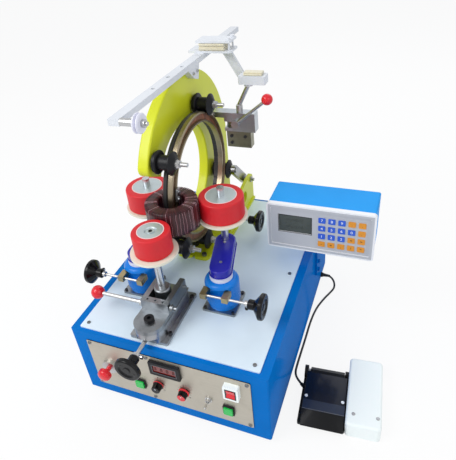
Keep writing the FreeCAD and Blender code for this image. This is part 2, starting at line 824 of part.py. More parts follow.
head = Design("head_plate")
head.pad("YZ", [outline([
    (base_back, flange_top), (head_y + head_radius - 6, flange_top + 26, 34, 1, 1),
    (head_y + head_radius, head_z), (head_y, head_z + head_radius, head_radius, 1, 1),
    (head_y + corner_y * swell, head_z + corner_z * swell, head_radius, 1, 1),
    (ring_y + limb_reach * cut_y, ring_z + limb_reach * cut_z, limb_round, 1, 1),
    (ring_y + head_opening * cut_y, ring_z + head_opening * cut_z),
    (ring_y, ring_z + head_opening, head_opening, -1, -1),
    (ring_y + head_opening, ring_z, head_opening, -1, -1),
    (ring_y, ring_z - head_opening, head_opening, -1, -1),
    (opening_y(mouth_low), mouth_low, head_opening, -1, -1),
    (lobe_y + 4, lobe_z + lobe_radius),
    (lobe_y - lobe_radius, lobe_z, lobe_radius + 3, 1, 1),
    (lobe_y, lobe_z - lobe_radius, lobe_radius, 1, 1),
    (base_front - 4, flange_top + 36), (base_front, flange_top)])],
    head_thickness, head_back_x)
axle_names = ["top", "left", "lower_left", "bottom"]
head.pocket("YZ", [circle(guides[n][0], guides[n][1], guide_bore + run_gap) for n in axle_names],
            head_thickness, head_back_x)
knob_rod = size("knob_rod", 5)
rear_knob_y = size("rear_knob_y", 140)
rear_knob_z = size("rear_knob_z", 286)
head.pocket("YZ", [circle(rear_knob_y, rear_knob_z, knob_rod + run_gap)], 14, head_front_x - 14)
edge_round = size("edge_round", 4)


def on_head_face(edge):
    """Long outer edges of the plate's two faces, above its foot."""
    bounds = edge.BoundBox
    flat = bounds.XMax - bounds.XMin < 0.01
    return flat and edge.Length > 60 and bounds.ZMax > flange_top.value + 30


head.round(edge_round, on_head_face)
keep_design("head_frame", head)

rib_thickness = size("rib_thickness", 10)
base_right = size("base_right", 15)
idler_pivot_y = size("idler_pivot_y", 310)
idler_pivot_z = size("idler_pivot_z", 318)
base_left = head_back_x - 3
base = Design("casting_foot")
base.pad("XY", [outline([
    (base_left, base_back), (base_left, base_front + 14), (base_left + 14, base_front, 14, 1, 1),
    (base_left + 34, base_front), (base_left + 46, base_front + 12, 12, 1, 1),
    (base_left + 50, base_front + 12), (base_left + 62, base_front, 12, 1, 1),
    (head_front_x + 50, base_front), (head_front_x + 64, base_front + 14, 14, 1, 1),
    (base_right, base_front + 130), (base_right, base_back)])], foot_flange_thickness, deck)
base.pad("YZ", [outline([
    (base_back, deck), (base_back, idler_pivot_z - 4), (base_back - 14, idler_pivot_z + 15, 22, 1, 1),
    (idler_pivot_y - 24, idler_pivot_z + 15), (base_front + 150, rear_knob_z + 22),
    (rear_knob_y - 20, rear_knob_z - 4, 26, 1, 1), (rear_knob_y - 34, deck)])], rib_thickness)
base.pocket("YZ", [circle(rear_knob_y, rear_knob_z, knob_rod + run_gap),
                   circle(idler_pivot_y, idler_pivot_z, guide_bore + run_gap),
                   circle(idler_pivot_y - 60, idler_pivot_z - 30, 18)], rib_thickness)
keep_design("head_base", base)

base_screws = []
for spot_x, spot_y in ((head_front_x + 48, base_front + 14), (base_right - 30, base_front + 170),
                       (base_right - 30, base_back - 16), (head_front_x + 16, base_back - 16)):
    base_screws.append(hex_screw(f"base_{len(base_screws)}", dim(7), dim(7),
                                 (spot_x, spot_y, flange_top)))

# ---------------------------------------------------------------- winding ring
guide_left_x = drive_back_x - 12
guide_right_x = ring_front_x + 13
ring_place = (0, ring_y, ring_z)
band = Design("bobbin_ring", ring_place)
ring_inner = ring_radius - ring_band
groove_depth = size("groove_depth", 8)
band.revolve("XZ", [outline([
    (ring_back_x, ring_inner), (ring_front_x, ring_inner), (ring_front_x, ring_radius - 3),
    (ring_front_x - 2, ring_radius), (ring_back_x + 2, ring_radius), (ring_back_x, ring_radius - 2)
])], "X")
band.groove("XZ", [outline([
    (ring_front_x, ring_inner + 4), (ring_front_x, ring_radius - 5),
    (ring_front_x - groove_depth, ring_radius - 7), (ring_front_x - groove_depth, ring_inner + 6)
])], "X")
keep_design("winding_ring", band)

drive = Design("gear_ring", ring_place)
drive_inner = ring_radius - drive_band
drive.revolve("XZ", [outline([
    (drive_back_x, drive_inner), (ring_back_x, drive_inner), (ring_back_x, ring_radius - 6),
    (ring_back_x - 4, ring_radius - 2), (drive_back_x + 4, ring_radius - 2),
    (drive_back_x, ring_radius - 6)])], "X")
belt_tooth = size("belt_tooth", 1.4)
tooth = drive.pocket("YZ", [circle(0, drive_inner - 0.4, belt_tooth)], ring_width, drive_back_x)
drive.around(tooth, "X", 48)
keep_design("drive_ring", drive)

# The wire guide rides on the bobbin ring: a block with a small pulley and two clamp screws.
slider_angle = size("slider_angle", 166)
slider_turn = Rotation(Vector(1, 0, 0), slider_angle.value)
slider_low = ring_inner - 3
slider_high = ring_radius - 13
slider_r = (slider_low + slider_high) / 2
slider = Design("slider_block", ring_place, slider_turn)
slider_x = ring_front_x
slider.pad("YZ", [rounded(slider_low, -17, slider_high, 17, 3)], slider_thickness, slider_x)
slider.pad("YZ", [circle(slider_r, 9, 6), circle(slider_r, -9, 5)], 3, slider_x + slider_thickness)
slider.pocket("YZ", [circle(slider_r, 9, 2)], 3, slider_x + slider_thickness)
slider.body.setExpression("Placement.Rotation.Angle", slider_angle.text)
keep_design("wire_slider", slider)


def guide_roller(label, y, z):
    """A flanged roller: a bored hub between a grooved rear disc and a conical front one."""
    roller = Design(label + "_form", (0, y, z))
    lip = guide_flange_radius
    hub = guide_hub_radius
    bore = guide_bore + run_gap
    outer_left = guide_left_x
    outer_right = guide_right_x
    ring_side = drive_back_x - fit_gap
    front_side = ring_front_x + fit_gap
    roller.revolve("XZ", [outline([
        (outer_left, bore), (outer_left, lip - 4), (outer_left + 1.5, lip - 2.5),
        (outer_left + 4, lip - 2.5), (outer_left + 4, lip - 7), (outer_left + 6, lip - 7),
        (outer_left + 6, lip), (ring_side - 2, lip), (ring_side, lip - 3), (ring_side, hub),
        (front_side, hub), (front_side, lip - 3), (front_side + 2, lip), (front_side + 4, lip),
        (outer_right - 1, hub - 3), (outer_right, hub - 4), (outer_right, bore)])], "X")
    keep_design(label, roller)


for guide_name, (guide_y, guide_z) in guides.items():
    guide_roller(f"guide_roller_{guide_name}", guide_y, guide_z)

axle_end = size("axle_end", 8)
nut_thickness = size("nut_thickness", 7)
rear_nut_thickness = size("rear_nut_thickness", 4)
axles = []
for axle_name in axle_names:
    at_y, at_z = guides[axle_name]
    shaft = rod(f"axle_{axle_name}", guide_bore, axle_end - head_back_x,
                (head_back_x, at_y, at_z), "X")
    spacer = rod(f"spacer_{axle_name}", guide_bore + 4, guide_left_x - fit_gap - head_front_x,
                 (head_front_x, at_y, at_z), "X")
    washer = rod(f"washer_{axle_name}", guide_bore + 5, 2, (guide_right_x + fit_gap, at_y, at_z), "X")
    nut = doc.addObject("Part::Prism", f"nut_{axle_name}")
    nut.Polygon = 6
    bind(nut, "Circumradius", guide_bore + 5)
    bind(nut, "Height", nut_thickness)
    place(nut, (guide_right_x + fit_gap + 2, at_y, at_z), AXIS_TURN["X"])
    rear = doc.addObject("Part::Prism", f"rear_nut_{axle_name}")
    rear.Polygon = 6
    bind(rear, "Circumradius", guide_bore + 6)
    bind(rear, "Height", rear_nut_thickness)
    place(rear, (head_back_x, at_y, at_z), AXIS_TURN["-X"])
    axles.append(fuse(f"axle_unit_{axle_name}", [shaft, spacer, washer, nut, rear]))
keep("guide_axles", group("axles", axles))

# The back roller sits on an arm that swings clear so that the ring can be lifted out.
arm_gap = 1
right_y, right_z = guides["right"]
idler_left_x = guide_right_x + arm_gap
idler_thickness = -run_gap * 4 - idler_left_x
reach_y = right_y - idler_pivot_y
reach_z = right_z - idler_pivot_z
reach = droot(reach_y * reach_y + reach_z * reach_z)
idler = Design("idler", (0, idler_pivot_y, idler_pivot_z),
               Rotation(Vector(1, 0, 0), math.degrees(math.atan2(reach_z.value, reach_y.value))))
idler.body.setExpression("Placement.Rotation.Angle", f"atan2({reach_z.text}; {reach_y.text})")
idler_end = size("idler_end", 14)
idler.pad("YZ", [outline([
    (reach, -idler_end), (reach + idler_end, 0, idler_end, 1, 1),
    (reach, idler_end, idler_end, 1, 1), (0, idler_end), (-idler_end, 0, idler_end, 1, 1),
    (0, -idler_end, idler_end, 1, 1)])], 12, idler_left_x)
idler.pad("YZ", [circle(0, 0, guide_bore + 5)], idler_thickness - 12, idler_left_x + 12)
idler.pad("YZ", [circle(0, 0, guide_bore)], rib_thickness + 12, idler_left_x + idler_thickness)
idler.pad("YZ", [circle(reach, 0, guide_bore)], idler_left_x - guide_left_x, guide_left_x)
idler.pad("YZ", [circle(reach, 0, guide_bore + 4)], 3, idler_left_x + 12)
idler.pad("YZ", [circle(0, 0, guide_bore + 4)], 4, rib_thickness + run_gap * 4)
keep_design("idler_arm", idler)

# ---------------------------------------------------------------- core and its rollers
core_round = size("core_round", 9)
core_top = core_low + core_height
core = Design("core_form", (middle_x, core_y, 0))
core.revolve("XZ", [rounded(core_hole, core_low, core_radius, core_top, core_round)], "Z")
keep_design("wound_core", core)

roller_top = roller_low + tyre_height


def roller(name, x, y, radius, lip, spindle_low, stub):
    """A rubber-tyred roller: the tyre, and a hub with a flange, spindle and end stub."""
    disc = radius * disc_share
    hub = Design(f"{name}_hub_form", (x, y, 0))
    top = [(spindle_radius, roller_top), (spindle_radius, roller_top + stub),
           (0, roller_top + stub)] if stub else [(14, roller_top), (12, roller_top - 3),
                                                 (0, roller_top - 3)]
    hub.revolve("XZ", [outline([
        (0, spindle_low), (spindle_radius, spindle_low), (spindle_radius, flange_low - 22),
        (spindle_radius + 5, flange_low - 22), (spindle_radius + 5, flange_low),
        (radius + lip - 2, flange_low), (radius + lip, flange_low + 2),
        (radius + lip, roller_low), (disc, roller_low), (disc, roller_top - 1),
        (disc - 1, roller_top)] + top)], "Z")
    if not stub:
        hub.pad("XY", [circle(0, 0, spindle_radius)], 2, roller_top - 3)
    keep_design(f"{name}_hub", hub)
    tyre = Design(f"{name}_tyre_form", (x, y, 0))
    tyre.revolve("XZ", [outline([
        (disc + run_gap, roller_low), (radius - 2, roller_low), (radius, roller_low + 2),
        (radius, roller_top - 4), (radius - 4, roller_top, 4, 1, 1),
        (disc + run_gap, roller_top)])], "Z")
    keep_design(f"{name}_tyre", tyre)


spindle_low = cover_low + 9
collar_low = size("arm_floor", 284)
front_spindle_low = collar_low + 6
roller("left_roller", left_roller_x, rear_roller_y, roller_radius, flange_lip, spindle_low,
       stub_height)
roller("right_roller", right_roller_x, rear_roller_y, roller_radius, flange_lip, spindle_low,
       stub_height)
roller("front_roller", middle_x, front_roller_y, front_roller_radius, front_flange_lip,
       front_spindle_low, None)

# ---------------------------------------------------------------- turrets
turret_flat = size("turret_flat", 30)
turret_pin = size("turret_pin", 10)
shoulder = size("shoulder", 13)
swing_gap = run_gap * 4
turret_low = deck + turret_plate_thickness
bases = []
blocks_low = adjuster_z - block_side / 2
for side, turret_x, roller_x in (("left", left_turret_x, left_roller_x),
                                 ("right", right_turret_x, right_roller_x)):
    half = turret_plate_side / 2
    foot = Design(f"{side}_turret_foot", (turret_x, turret_y, 0))
    foot.pad("XY", [rounded(-half, -half, half, half, 4)], turret_plate_thickness, deck)
    foot.pocket("XY", [circle(0, 0, turret_pin + run_gap)], turret_plate_thickness, deck)
    bases.append(foot.body)
    for dx in (-1, 1):
        for dy in (-1, 1):
            bases.append(hex_screw(f"{side}_foot_{len(bases)}", dim(4), dim(4),
                                   (turret_x + (half - 6) * dx, turret_y + (half - 6) * dy,
                                    turret_low)))
    body = Design(f"{side}_turret_form", (turret_x, turret_y, 0))
    body.revolve("XZ", [outline([
        (0, deck + 1), (turret_pin, deck + 1), (turret_pin, turret_low + swing_gap),
        (turret_radius - 4, turret_low + swing_gap),
        (turret_radius - 4, turret_low + 12), (turret_radius, turret_low + 16),
        (turret_radius, turret_top - shoulder), (turret_radius - shoulder, turret_top, shoulder, 1, 1),
        (collar_radius - 4, turret_top), (collar_radius - 4, cover_low - 2),
        (collar_radius - 6, cover_low), (0, cover_low)])], "Z")
    body.pocket("XZ", [rectangle(-turret_radius, blocks_low - 4, turret_radius,
                                 blocks_low + block_side + 4)],
                turret_radius - turret_flat, -turret_radius)
    reach_x = roller_x - turret_x
    reach_y = rear_roller_y - turret_y
    length = droot(reach_x * reach_x + reach_y * reach_y)
    angle = math.degrees(math.atan2(reach_y.value, reach_x.value))
    cover = Design(f"{side}_cover_form", (turret_x, turret_y, 0), Rotation(Vector(0, 0, 1), angle))
    cover.body.setExpression("Placement.Rotation.Angle", f"atan2({reach_y.text}; {reach_x.text})")

    def obround(r, near=0):
        return outline([(length, -r), (length + r, 0, r, 1, 1), (length, r, r, 1, 1), (near, r),
                        (near - r, 0, r, 1, 1), (near, -r, r, 1, 1)])

    cover.pad("XY", [obround(cover_radius + 2)], 4, cover_low)
    cover.pad("XY", [obround(cover_radius)], cover_height - 4, cover_low + 4)
    cover.round(3, lambda e: e.BoundBox.ZMin > cover_top.value - 0.01)
    cover.pad("XY", [circle(12, 0, 3.5), circle(length - 14, 0, 3.5)], 1.5, cover_top)
    cover.pocket("XY", [circle(length, 0, spindle_radius + run_gap)], cover_height, spindle_low - 1)
    keep_design(f"{side}_belt_cover", cover)

    lugs = []
    for dx in (-1, 1):
        lug = Design(f"{side}_lug_{dx + 1}", (turret_x, turret_y, 0))
        lug_x = block_spread * dx - block_side / 2
        lug.pad("XY", [rectangle(lug_x, -(adjuster_reach + block_side / 2), lug_x + block_side,
                                 -turret_flat)], block_side, blocks_low)
        lug.pocket("YZ", [circle(-adjuster_reach, adjuster_z, adjuster_screw_radius + run_gap)],
                   block_side, lug_x)
        lugs.append(lug.body)
    keep(f"{side}_turret_body", group(f"{side}_turret_parts", [body.body] + lugs))
keep("turret_bases", group("turret_feet", bases))


def hand_knob(label, at, turn, rod_radius, rod_start, collared=True):
    """A dished handwheel on a steel rod; local +Z runs out of its face, zero at its middle.

    A collared rod has a clamp collar with a thumb screw just behind the wheel's hub.
    """
    knob = Design(label + "_form", at, turn)
    rim = knob_radius
    hub = knob_hub
    back = hub_back
    collar = back - 1
    rod_run = [(0, rod_start), (rod_radius, rod_start), (rod_radius, back)]
    if collared:
        rod_run[2:] = [(rod_radius, collar - 7), (rod_radius + 4, collar - 7),
                       (rod_radius + 4, collar), (rod_radius, collar), (rod_radius, back)]
    knob.revolve("XZ", [outline(rod_run + [
        (hub - 2, back), (hub, back + 2), (hub, -15), (hub + 4, -12), (rim, -1), (rim, 5),
        (rim - 4, 9, 4, 1, 1), (rim - 10, 9), (rim - 14, 6), (9, 6), (7, 8), (0, 8)])], "Z")
    if collared:
        knob.pad("YZ", [circle(0, collar - 3.5, 2.5)], thumb_reach - rod_radius, rod_radius)
        knob.pad("YZ", [circle(0, collar - 3.5, 4.5)], 5, thumb_reach - 5)
    keep_design(label, knob)


knob_hub = size("knob_hub", 12)
hub_back = size("hub_back", -30)
thumb_reach = size("thumb_reach", 17)

# Adjusting screws of the turrets and the knob behind the right-hand roller.
hand_knob("left_adjuster", (left_turret_x - knob_distance, turret_y - adjuster_reach, adjuster_z),
          Rotation(Vector(0, 1, 0), -90), adjuster_screw_radius,
          -(knob_distance + block_spread + block_side / 2))
hand_knob("right_adjuster", (right_turret_x + knob_distance, turret_y - adjuster_reach, adjuster_z),
          Rotation(Vector(0, 1, 0), 90), adjuster_screw_radius,
          -(knob_distance + block_spread + block_side / 2))
rear_knob_x = size("rear_knob_x", 88)
hand_knob("rear_knob", (rear_knob_x, rear_knob_y, rear_knob_z), Rotation(Vector(0, 1, 0), 90),
          knob_rod, -(rear_knob_x - head_front_x + 12), False)

# ---------------------------------------------------------------- front slide
slide_half = slide_width / 2
rail_low = deck + slide_flange
rail_top = rail_low + dovetail_height
screw_z = rail_low + dovetail_height / 2
channel = size("screw_channel", 16)
rail = Design("slide_rail", (middle_x, 0, 0))
slide_back = slide_front + slide_length
rail.pad("XY", [rounded(-slide_half, slide_front, slide_half, slide_back, 4)], slide_flange, deck)
neck = dovetail_neck / 2
crown = dovetail_top / 2
rail.pad("XZ", [outline([(-neck, rail_low), (neck, rail_low), (crown, rail_top),
                         (-crown, rail_top)])], slide_length, slide_front)
rail.pocket("XY", [rectangle(-channel / 2, slide_front + 8, channel / 2, slide_back - 8)],
            dovetail_height, rail_low)
rail.pocket("XZ", [circle(0, screw_z, feed_screw_radius + run_gap)], 8, slide_front)
rail_screws = [hex_screw(f"rail_{n}", dim(5), dim(5), (middle_x + (slide_half - 6) * sx, at_y, rail_low))
               for n, (sx, at_y) in enumerate((s, y) for s in (-1, 1)
                                              for y in (slide_front + 30, slide_back - 16))]
keep("slide_base", group("slide_parts", [rail.body] + rail_screws))

carriage_half = carriage_width / 2
carriage_low = rail_low + fit_gap
pivot_pin = size("pivot_pin", 8)
pin_depth = size("pin_depth", 10)
nut_y = size("nut_y", -240)
carriage = Design("carriage_form", (middle_x, 0, 0))
carriage.pad("XY", [outline([
    (carriage_half, carriage_back), (-carriage_half, carriage_back),
    (-carriage_half, pivot_y), (0, pivot_y - nose_radius, nose_radius, 1, 1),
    (carriage_half, pivot_y, nose_radius, 1, 1)])], carriage_top - carriage_low, carriage_low)
carriage.pocket("XZ", [outline([
    (-neck - fit_gap, carriage_low - 1), (neck + fit_gap, carriage_low - 1),
    (crown + fit_gap, rail_top + fit_gap), (-crown - fit_gap, rail_top + fit_gap)])],
    carriage_back - pivot_y + nose_radius, pivot_y - nose_radius)
carriage.pad("XY", [rectangle(-channel / 2 + 1, nut_y, channel / 2 - 1, nut_y + 24)],
             rail_top - rail_low + 2, rail_low + 1)
carriage.pocket("XZ", [circle(0, screw_z, feed_screw_radius + run_gap)], 24, nut_y)
carriage.pocket("XY", [circle(0, pivot_y, pivot_pin + run_gap)], pin_depth + 1,
                carriage_top - pin_depth - 1)
keep_design("slide_carriage", carriage)

hand_knob("feed_knob", (middle_x, feed_knob_y, screw_z), Rotation(Vector(1, 0, 0), 90),
          feed_screw_radius, -(nut_y + 30 - feed_knob_y))

arm_low = carriage_top + swing_gap
arm_half = arm_width / 2
cavity_half = arm_half - arm_wall
arm = Design("arm_form", (middle_x, pivot_y, 0))
block_front = arm_front - pivot_y
block_back = arm_back - pivot_y
arm.pad("XY", [circle(0, 0, nose_radius)], collar_low - arm_low, arm_low)
arm.pad("XY", [rectangle(-arm_half, block_front, arm_half, block_back)], arm_top - arm_low, arm_low)
arm.pocket("XY", [rectangle(-cavity_half, block_front + 16, cavity_half, block_back)],
           arm_top - collar_low, collar_low)
arm.pad("XY", [rectangle(-arm_half, 0, arm_half, block_front)], collar_low - arm_low, arm_low)
roller_reach = front_roller_y - pivot_y
bearing_radius = size("bearing_radius", 20)
bearing_top = size("bearing_top", 320)
arm.pad("XY", [circle(0, roller_reach, bearing_radius)], bearing_top - collar_low, collar_low)
arm.round(4, lambda e: abs(e.BoundBox.ZMin - bearing_top.value) < 0.01)
arm.pocket("XY", [circle(0, roller_reach, spindle_radius + run_gap)],
           bearing_top - front_spindle_low + 1, front_spindle_low - 1)
arm.pad("XY", [circle(0, 0, pivot_pin)], pin_depth + swing_gap, carriage_top - pin_depth)
arm.pad("XY", [circle(0, 0, 12)], 8, collar_low)
arm.pocket("XY", [circle(0, 0, 5)], 5, collar_low + 3)
bolt_z = (arm_top + collar_low) / 2
arm.pad("YZ", [circle(block_front + 8, bolt_z, 5)], 18, arm_half)
arm.pad("YZ", [circle(block_front + 8, bolt_z, 9)], 7, arm_half + 3)
arm.pad("YZ", [circle(block_back - 14, bolt_z, 4)], 8, arm_half)
for dot_x, dot_y in ((-20, 8), (20, 8), (0, 8)):
    arm.pocket("XY", [circle(dot_x, block_front + dot_y, 3)], 4, arm_top - 4)
keep_design("swing_arm", arm)

handle_length = middle_x - arm_half - lever_ball_x
handle = Design("arm_lever_form", (middle_x - arm_half, lever_y, lever_z),
                Rotation(Vector(0, 1, 0), -90))
handle.revolve("XZ", [outline([
    (0, 0), (lever_radius + 4, 0), (lever_radius + 4, 8), (lever_radius, 8),
    (lever_radius, handle_length - lever_ball_radius * 0.95),
    (lever_ball_radius * 0.6, handle_length - lever_ball_radius * 0.8),
    (lever_ball_radius, handle_length, lever_ball_radius, 1, 1),
    (0, handle_length + lever_ball_radius, lever_ball_radius, 1, 1)])], "Z")
keep_design("arm_lever", handle)

# ---------------------------------------------------------------- gate beside the ring
gate_left = size("gate_left", -20)
gate_right = size("gate_right", 68)
gate_low = size("gate_low", 527)
gate_high = size("gate_high", 581)
gate_y = size("gate_y", 212)
gate_depth = size("gate_depth", 30)
bridge_height = size("bridge_height", 15)
gate_pin = size("gate_pin", 5)
knuckle_x = size("knuckle_x", 15)
knuckle_z = size("knuckle_z", 552)
pin_x = (gate_left + 14, gate_right - 14)
gate = Design("gate_form")
gate.pad("XZ", [rectangle(gate_left, gate_low, gate_right, gate_high)], gate_depth, gate_y)
gate.pad("XZ", [rectangle(head_front_x, gate_high - bridge_height, gate_left, gate_high)],
         gate_depth, gate_y)
gate.pocket("XZ", [rectangle(gate_left, gate_low + 10, gate_left + 26, gate_low + 28)],
            gate_depth - 10, gate_y)
gate.pocket("XY", [circle(x, gate_y + gate_depth / 2, gate_pin + run_gap) for x in pin_x],
            40, gate_low)
gate.pocket("XZ", [circle(knuckle_x, knuckle_z, gate_pin + run_gap)], 12, gate_y)
keep_design("gate_block", gate)

jaw_height = size("jaw_height", 48)
jaw_gap = swing_gap
jaw_top = gate_low - jaw_gap
jaw = Design("jaw_form")
jaw.pad("XZ", [rectangle(gate_left + 4, jaw_top - jaw_height, gate_right - 14, jaw_top)],
        gate_depth - 4, gate_y + 2)
jaw.pad("XY", [circle(x, gate_y + gate_depth / 2, gate_pin) for x in pin_x], jaw_gap + 38, jaw_top)
jaw.pad("XZ", [circle(gate_left + 18, jaw_top - 14, 4.5), circle(gate_left + 18, jaw_top - 34, 4.5),
               circle(gate_right - 30, jaw_top - 14, 4.5)], 3, gate_y - 1)
keep_design("gate_jaw", jaw)

gate_ball_x = size("gate_ball_x", 107)
gate_ball_z = size("gate_ball_z", 627)
gate_ball_radius = size("gate_ball_radius", 15)
knuckle = size("knuckle_radius", 11)
lever_dx = gate_ball_x - knuckle_x
lever_dz = gate_ball_z - knuckle_z
lever_length = droot(lever_dx * lever_dx + lever_dz * lever_dz)
tilt = math.degrees(math.atan2(lever_dx.value, lever_dz.value))
lever = Design("gate_lever_form", (knuckle_x, gate_y - 7, knuckle_z), Rotation(Vector(0, 1, 0), tilt))
lever.body.setExpression("Placement.Rotation.Angle", f"atan2({lever_dx.text}; {lever_dz.text})")
lever.revolve("XZ", [outline([
    (0, 4), (4.5, 4), (4.5, lever_length - gate_ball_radius * 0.95),
    (gate_ball_radius * 0.6, lever_length - gate_ball_radius * 0.8),
    (gate_ball_radius, lever_length, gate_ball_radius, 1, 1),
    (0, lever_length + gate_ball_radius, gate_ball_radius, 1, 1)])], "Z")
lever.pad("XZ", [circle(0, 0, knuckle)], 13 - swing_gap, -6)
lever.pad("XZ", [circle(0, 0, gate_pin)], 11, 7 - swing_gap)
keep_design("gate_lever", lever)

# ---------------------------------------------------------------- wire guide bar and tensioner
bar_top = bar_low + bar_thickness
bar_right_x = bar_left_x + bar_width
bar_hole = size("bar_hole", 5)
bar_hole_y = size("bar_hole_y", 30)
bar_hole_pitch = size("bar_hole_pitch", 75)
bar = Design("bar_form")
bar.pad("XY", [rectangle(bar_left_x, bar_front, bar_right_x, bar_back)], bar_thickness, bar_low)
bar_middle = (bar_left_x + bar_right_x) / 2
bar.pocket("XY", [circle(bar_middle, bar_hole_y - bar_hole_pitch, bar_hole),
                  circle(bar_middle, bar_hole_y, bar_hole),
                  circle(bar_middle, bar_hole_y + bar_hole_pitch, bar_hole)], bar_thickness, bar_low)
gusset_y = size("gusset_y", 145)
bracket = Design("bar_bracket")
bracket.pad("YZ", [outline([
    (gusset_y - 33, bar_low), (gusset_y - 5, bar_low - 27), (gusset_y + 20, bar_low - 37),
    (gusset_y + 33, bar_low)])], bar_right_x - head_front_x, head_front_x)
clip_screws = [hex_screw(f"clip_{n}", dim(4), dim(4), (bar_right_x, gusset_y + at_y, bar_low - 14),
                         "X") for n, at_y in enumerate((-8, 16))]
wheel_y = bar_front + 7
wheel_x = size("wheel_x", -26)
wheel_z = bar_low + bar_thickness / 2
wheel_bore = size("wheel_bore", 4)
wheel_shaft = rod("wheel_shaft", wheel_bore, wheel_x + pulley_width + 12 - bar_right_x,
                  (bar_right_x, wheel_y, wheel_z), "X")
wheel_spacer = rod("wheel_spacer", wheel_bore + 4, wheel_x - fit_gap - bar_right_x,
                   (bar_right_x, wheel_y, wheel_z), "X")
wheel_nut = rod("wheel_nut", wheel_bore + 4, 7, (wheel_x + pulley_width + fit_gap, wheel_y, wheel_z),
                "X")
wheel_axle = fuse("wheel_axle", [wheel_shaft, wheel_spacer, wheel_nut])
keep("guide_bar", group("bar_parts", [bar.body, bracket.body, wheel_axle] + clip_screws))

wheel = Design("wheel_form", (wheel_x, wheel_y, wheel_z))
wheel.revolve("XZ", [outline([
    (0, wheel_bore + run_gap), (0, pulley_radius - 2), (2, pulley_radius), (4, pulley_radius),
    (pulley_width / 2 - 1, pulley_radius - 7), (pulley_width / 2 + 1, pulley_radius - 7),
    (pulley_width - 4, pulley_radius), (pulley_width - 2, pulley_radius),
    (pulley_width, pulley_radius - 2), (pulley_width, wheel_bore + run_gap)])], "X")
keep_design("guide_wheel", wheel)

plate_left = size("tension_left", -105)
plate_right = size("tension_right", 15)
tension_sheet = size("tension_sheet", 5)
felt_thickness = size("felt_thickness", 20)
felt_left = size("felt_left", -74)
felt_right = size("felt_right", -4)
felt_low = bar_top + tension_sheet
felt_front = felt_y - felt_depth / 2
lower = Design("tension_plate_form")
lower.pad("XY", [rounded(plate_left, felt_front, plate_right, felt_front + felt_depth, 4)],
          tension_sheet, bar_top)
upper = Design("tension_cover_form")
cover_sheet = tension_sheet
upper.pad("XY", [rounded(felt_left - 8, felt_front, plate_right - 1, felt_front + felt_depth, 3)],
          cover_sheet, felt_low + felt_thickness)
clamp_x = plate_right - 9
post_radius = size("tension_post_radius", 2.5)
post_ys = [felt_front + felt_depth * share for share in (0.22, 0.78)]
upper.pocket("XY", [circle(clamp_x, y, post_radius + run_gap) for y in post_ys], cover_sheet,
             felt_low + felt_thickness)
posts = []
for n, post_y in enumerate(post_ys):
    post = rod(f"tension_post_{n}", post_radius, felt_thickness + 10, (clamp_x, post_y, felt_low))
    cap = rod(f"tension_nut_{n}", 6, 6,
              (clamp_x, post_y, felt_low + felt_thickness + cover_sheet))
    posts.append(fuse(f"tension_screw_{n}", [post, cap]))
side_left = size("side_plate_left", 29)
side_right = size("side_plate_right", 101)
side_low = size("side_plate_low", 662)
side_sheet = size("side_sheet", 22)
strut_y = felt_y + 4
strut = Design("strut_form")
strut.pad("XZ", [outline([
    (plate_right - 40, bar_top), (side_left - 8, side_low), (side_left + 16, side_low),
    (plate_right - 14, bar_top)])], 9, strut_y)
side_plate = Design("side_plate_form")
side_plate.pad("XY", [rounded(side_left, felt_front - 4, side_right, strut_y, 3)], side_sheet,
               side_low)
support_x = size("support_x", 22)
support_lean = size("support_lean", 30)
support_y = gate_y + gate_depth / 2
foot_top = gate_high + 19
lean_rise = side_low - 4 - foot_top
support_foot = rod("support_foot", 9, 19, (support_x, support_y, gate_high))
support = rod("support_rod", 6, droot(lean_rise * lean_rise + support_lean * support_lean),
              (support_x, support_y, foot_top))
support.Placement.Rotation = Rotation(Vector(0, 1, 0),
                                      math.degrees(math.atan2(support_lean.value, lean_rise.value)))
support.setExpression("Placement.Rotation.Angle", f"atan2({support_lean.text}; {lean_rise.text})")
nylon = rod("nylon_washer", 12, 7, (support_x + support_lean, support_y, side_low - 7))
support_unit = fuse("support_unit", [support_foot, support, nylon])
keep("tension_frame", group("tension_parts", [lower.body, upper.body, strut.body, side_plate.body,
                                               support_unit] + posts))
side_felt_thickness = size("side_felt_thickness", 8)
felt = Design("felt_form")
felt.pad("XY", [rounded(felt_left, felt_front + 3, felt_right, felt_front + felt_depth - 3, 6)],
         felt_thickness, felt_low)
side_felt = Design("side_felt_form")
side_felt.pad("XY", [rounded(side_left + 13, felt_front + 2, side_right - 9, strut_y - 4, 6)],
              side_felt_thickness, side_low + side_sheet)
keep("felt_pads", group("felts", [felt.body, side_felt.body]))

# ---------------------------------------------------------------- controller
case_left = controller_x - controller_width / 2
case_right = controller_x + controller_width / 2
case_top = controller_low + controller_height
bezel = size("controller_bezel", 12)
case = Design("controller_form")
case.pad("XY", [rectangle(case_left, controller_front + bezel, case_right,
                          controller_front + controller_depth)], controller_height, controller_low)
case.round(5, lambda e: e.BoundBox.YMax - e.BoundBox.YMin > 50)
rim = Design("controller_rim_form")
rim.pad("XZ", [rounded(case_left - 2, controller_low - 2, case_right + 2, case_top + 2, 8)],
        bezel, controller_front)
rim.pocket("XZ", [rounded(case_left + 9, controller_low + 9, case_right - 9, case_top - 9, 4)],
           3, controller_front)
window_width = size("window_width", 82)
window_height = size("window_height", 50)
window_x = case_left + 28
window_z = case_top - 30
rim.pocket("XZ", [rectangle(window_x, window_z - window_height, window_x + window_width, window_z)],
           2, controller_front + 3)
keep("controller_case", group("controller_parts", [case.body, rim.body]))

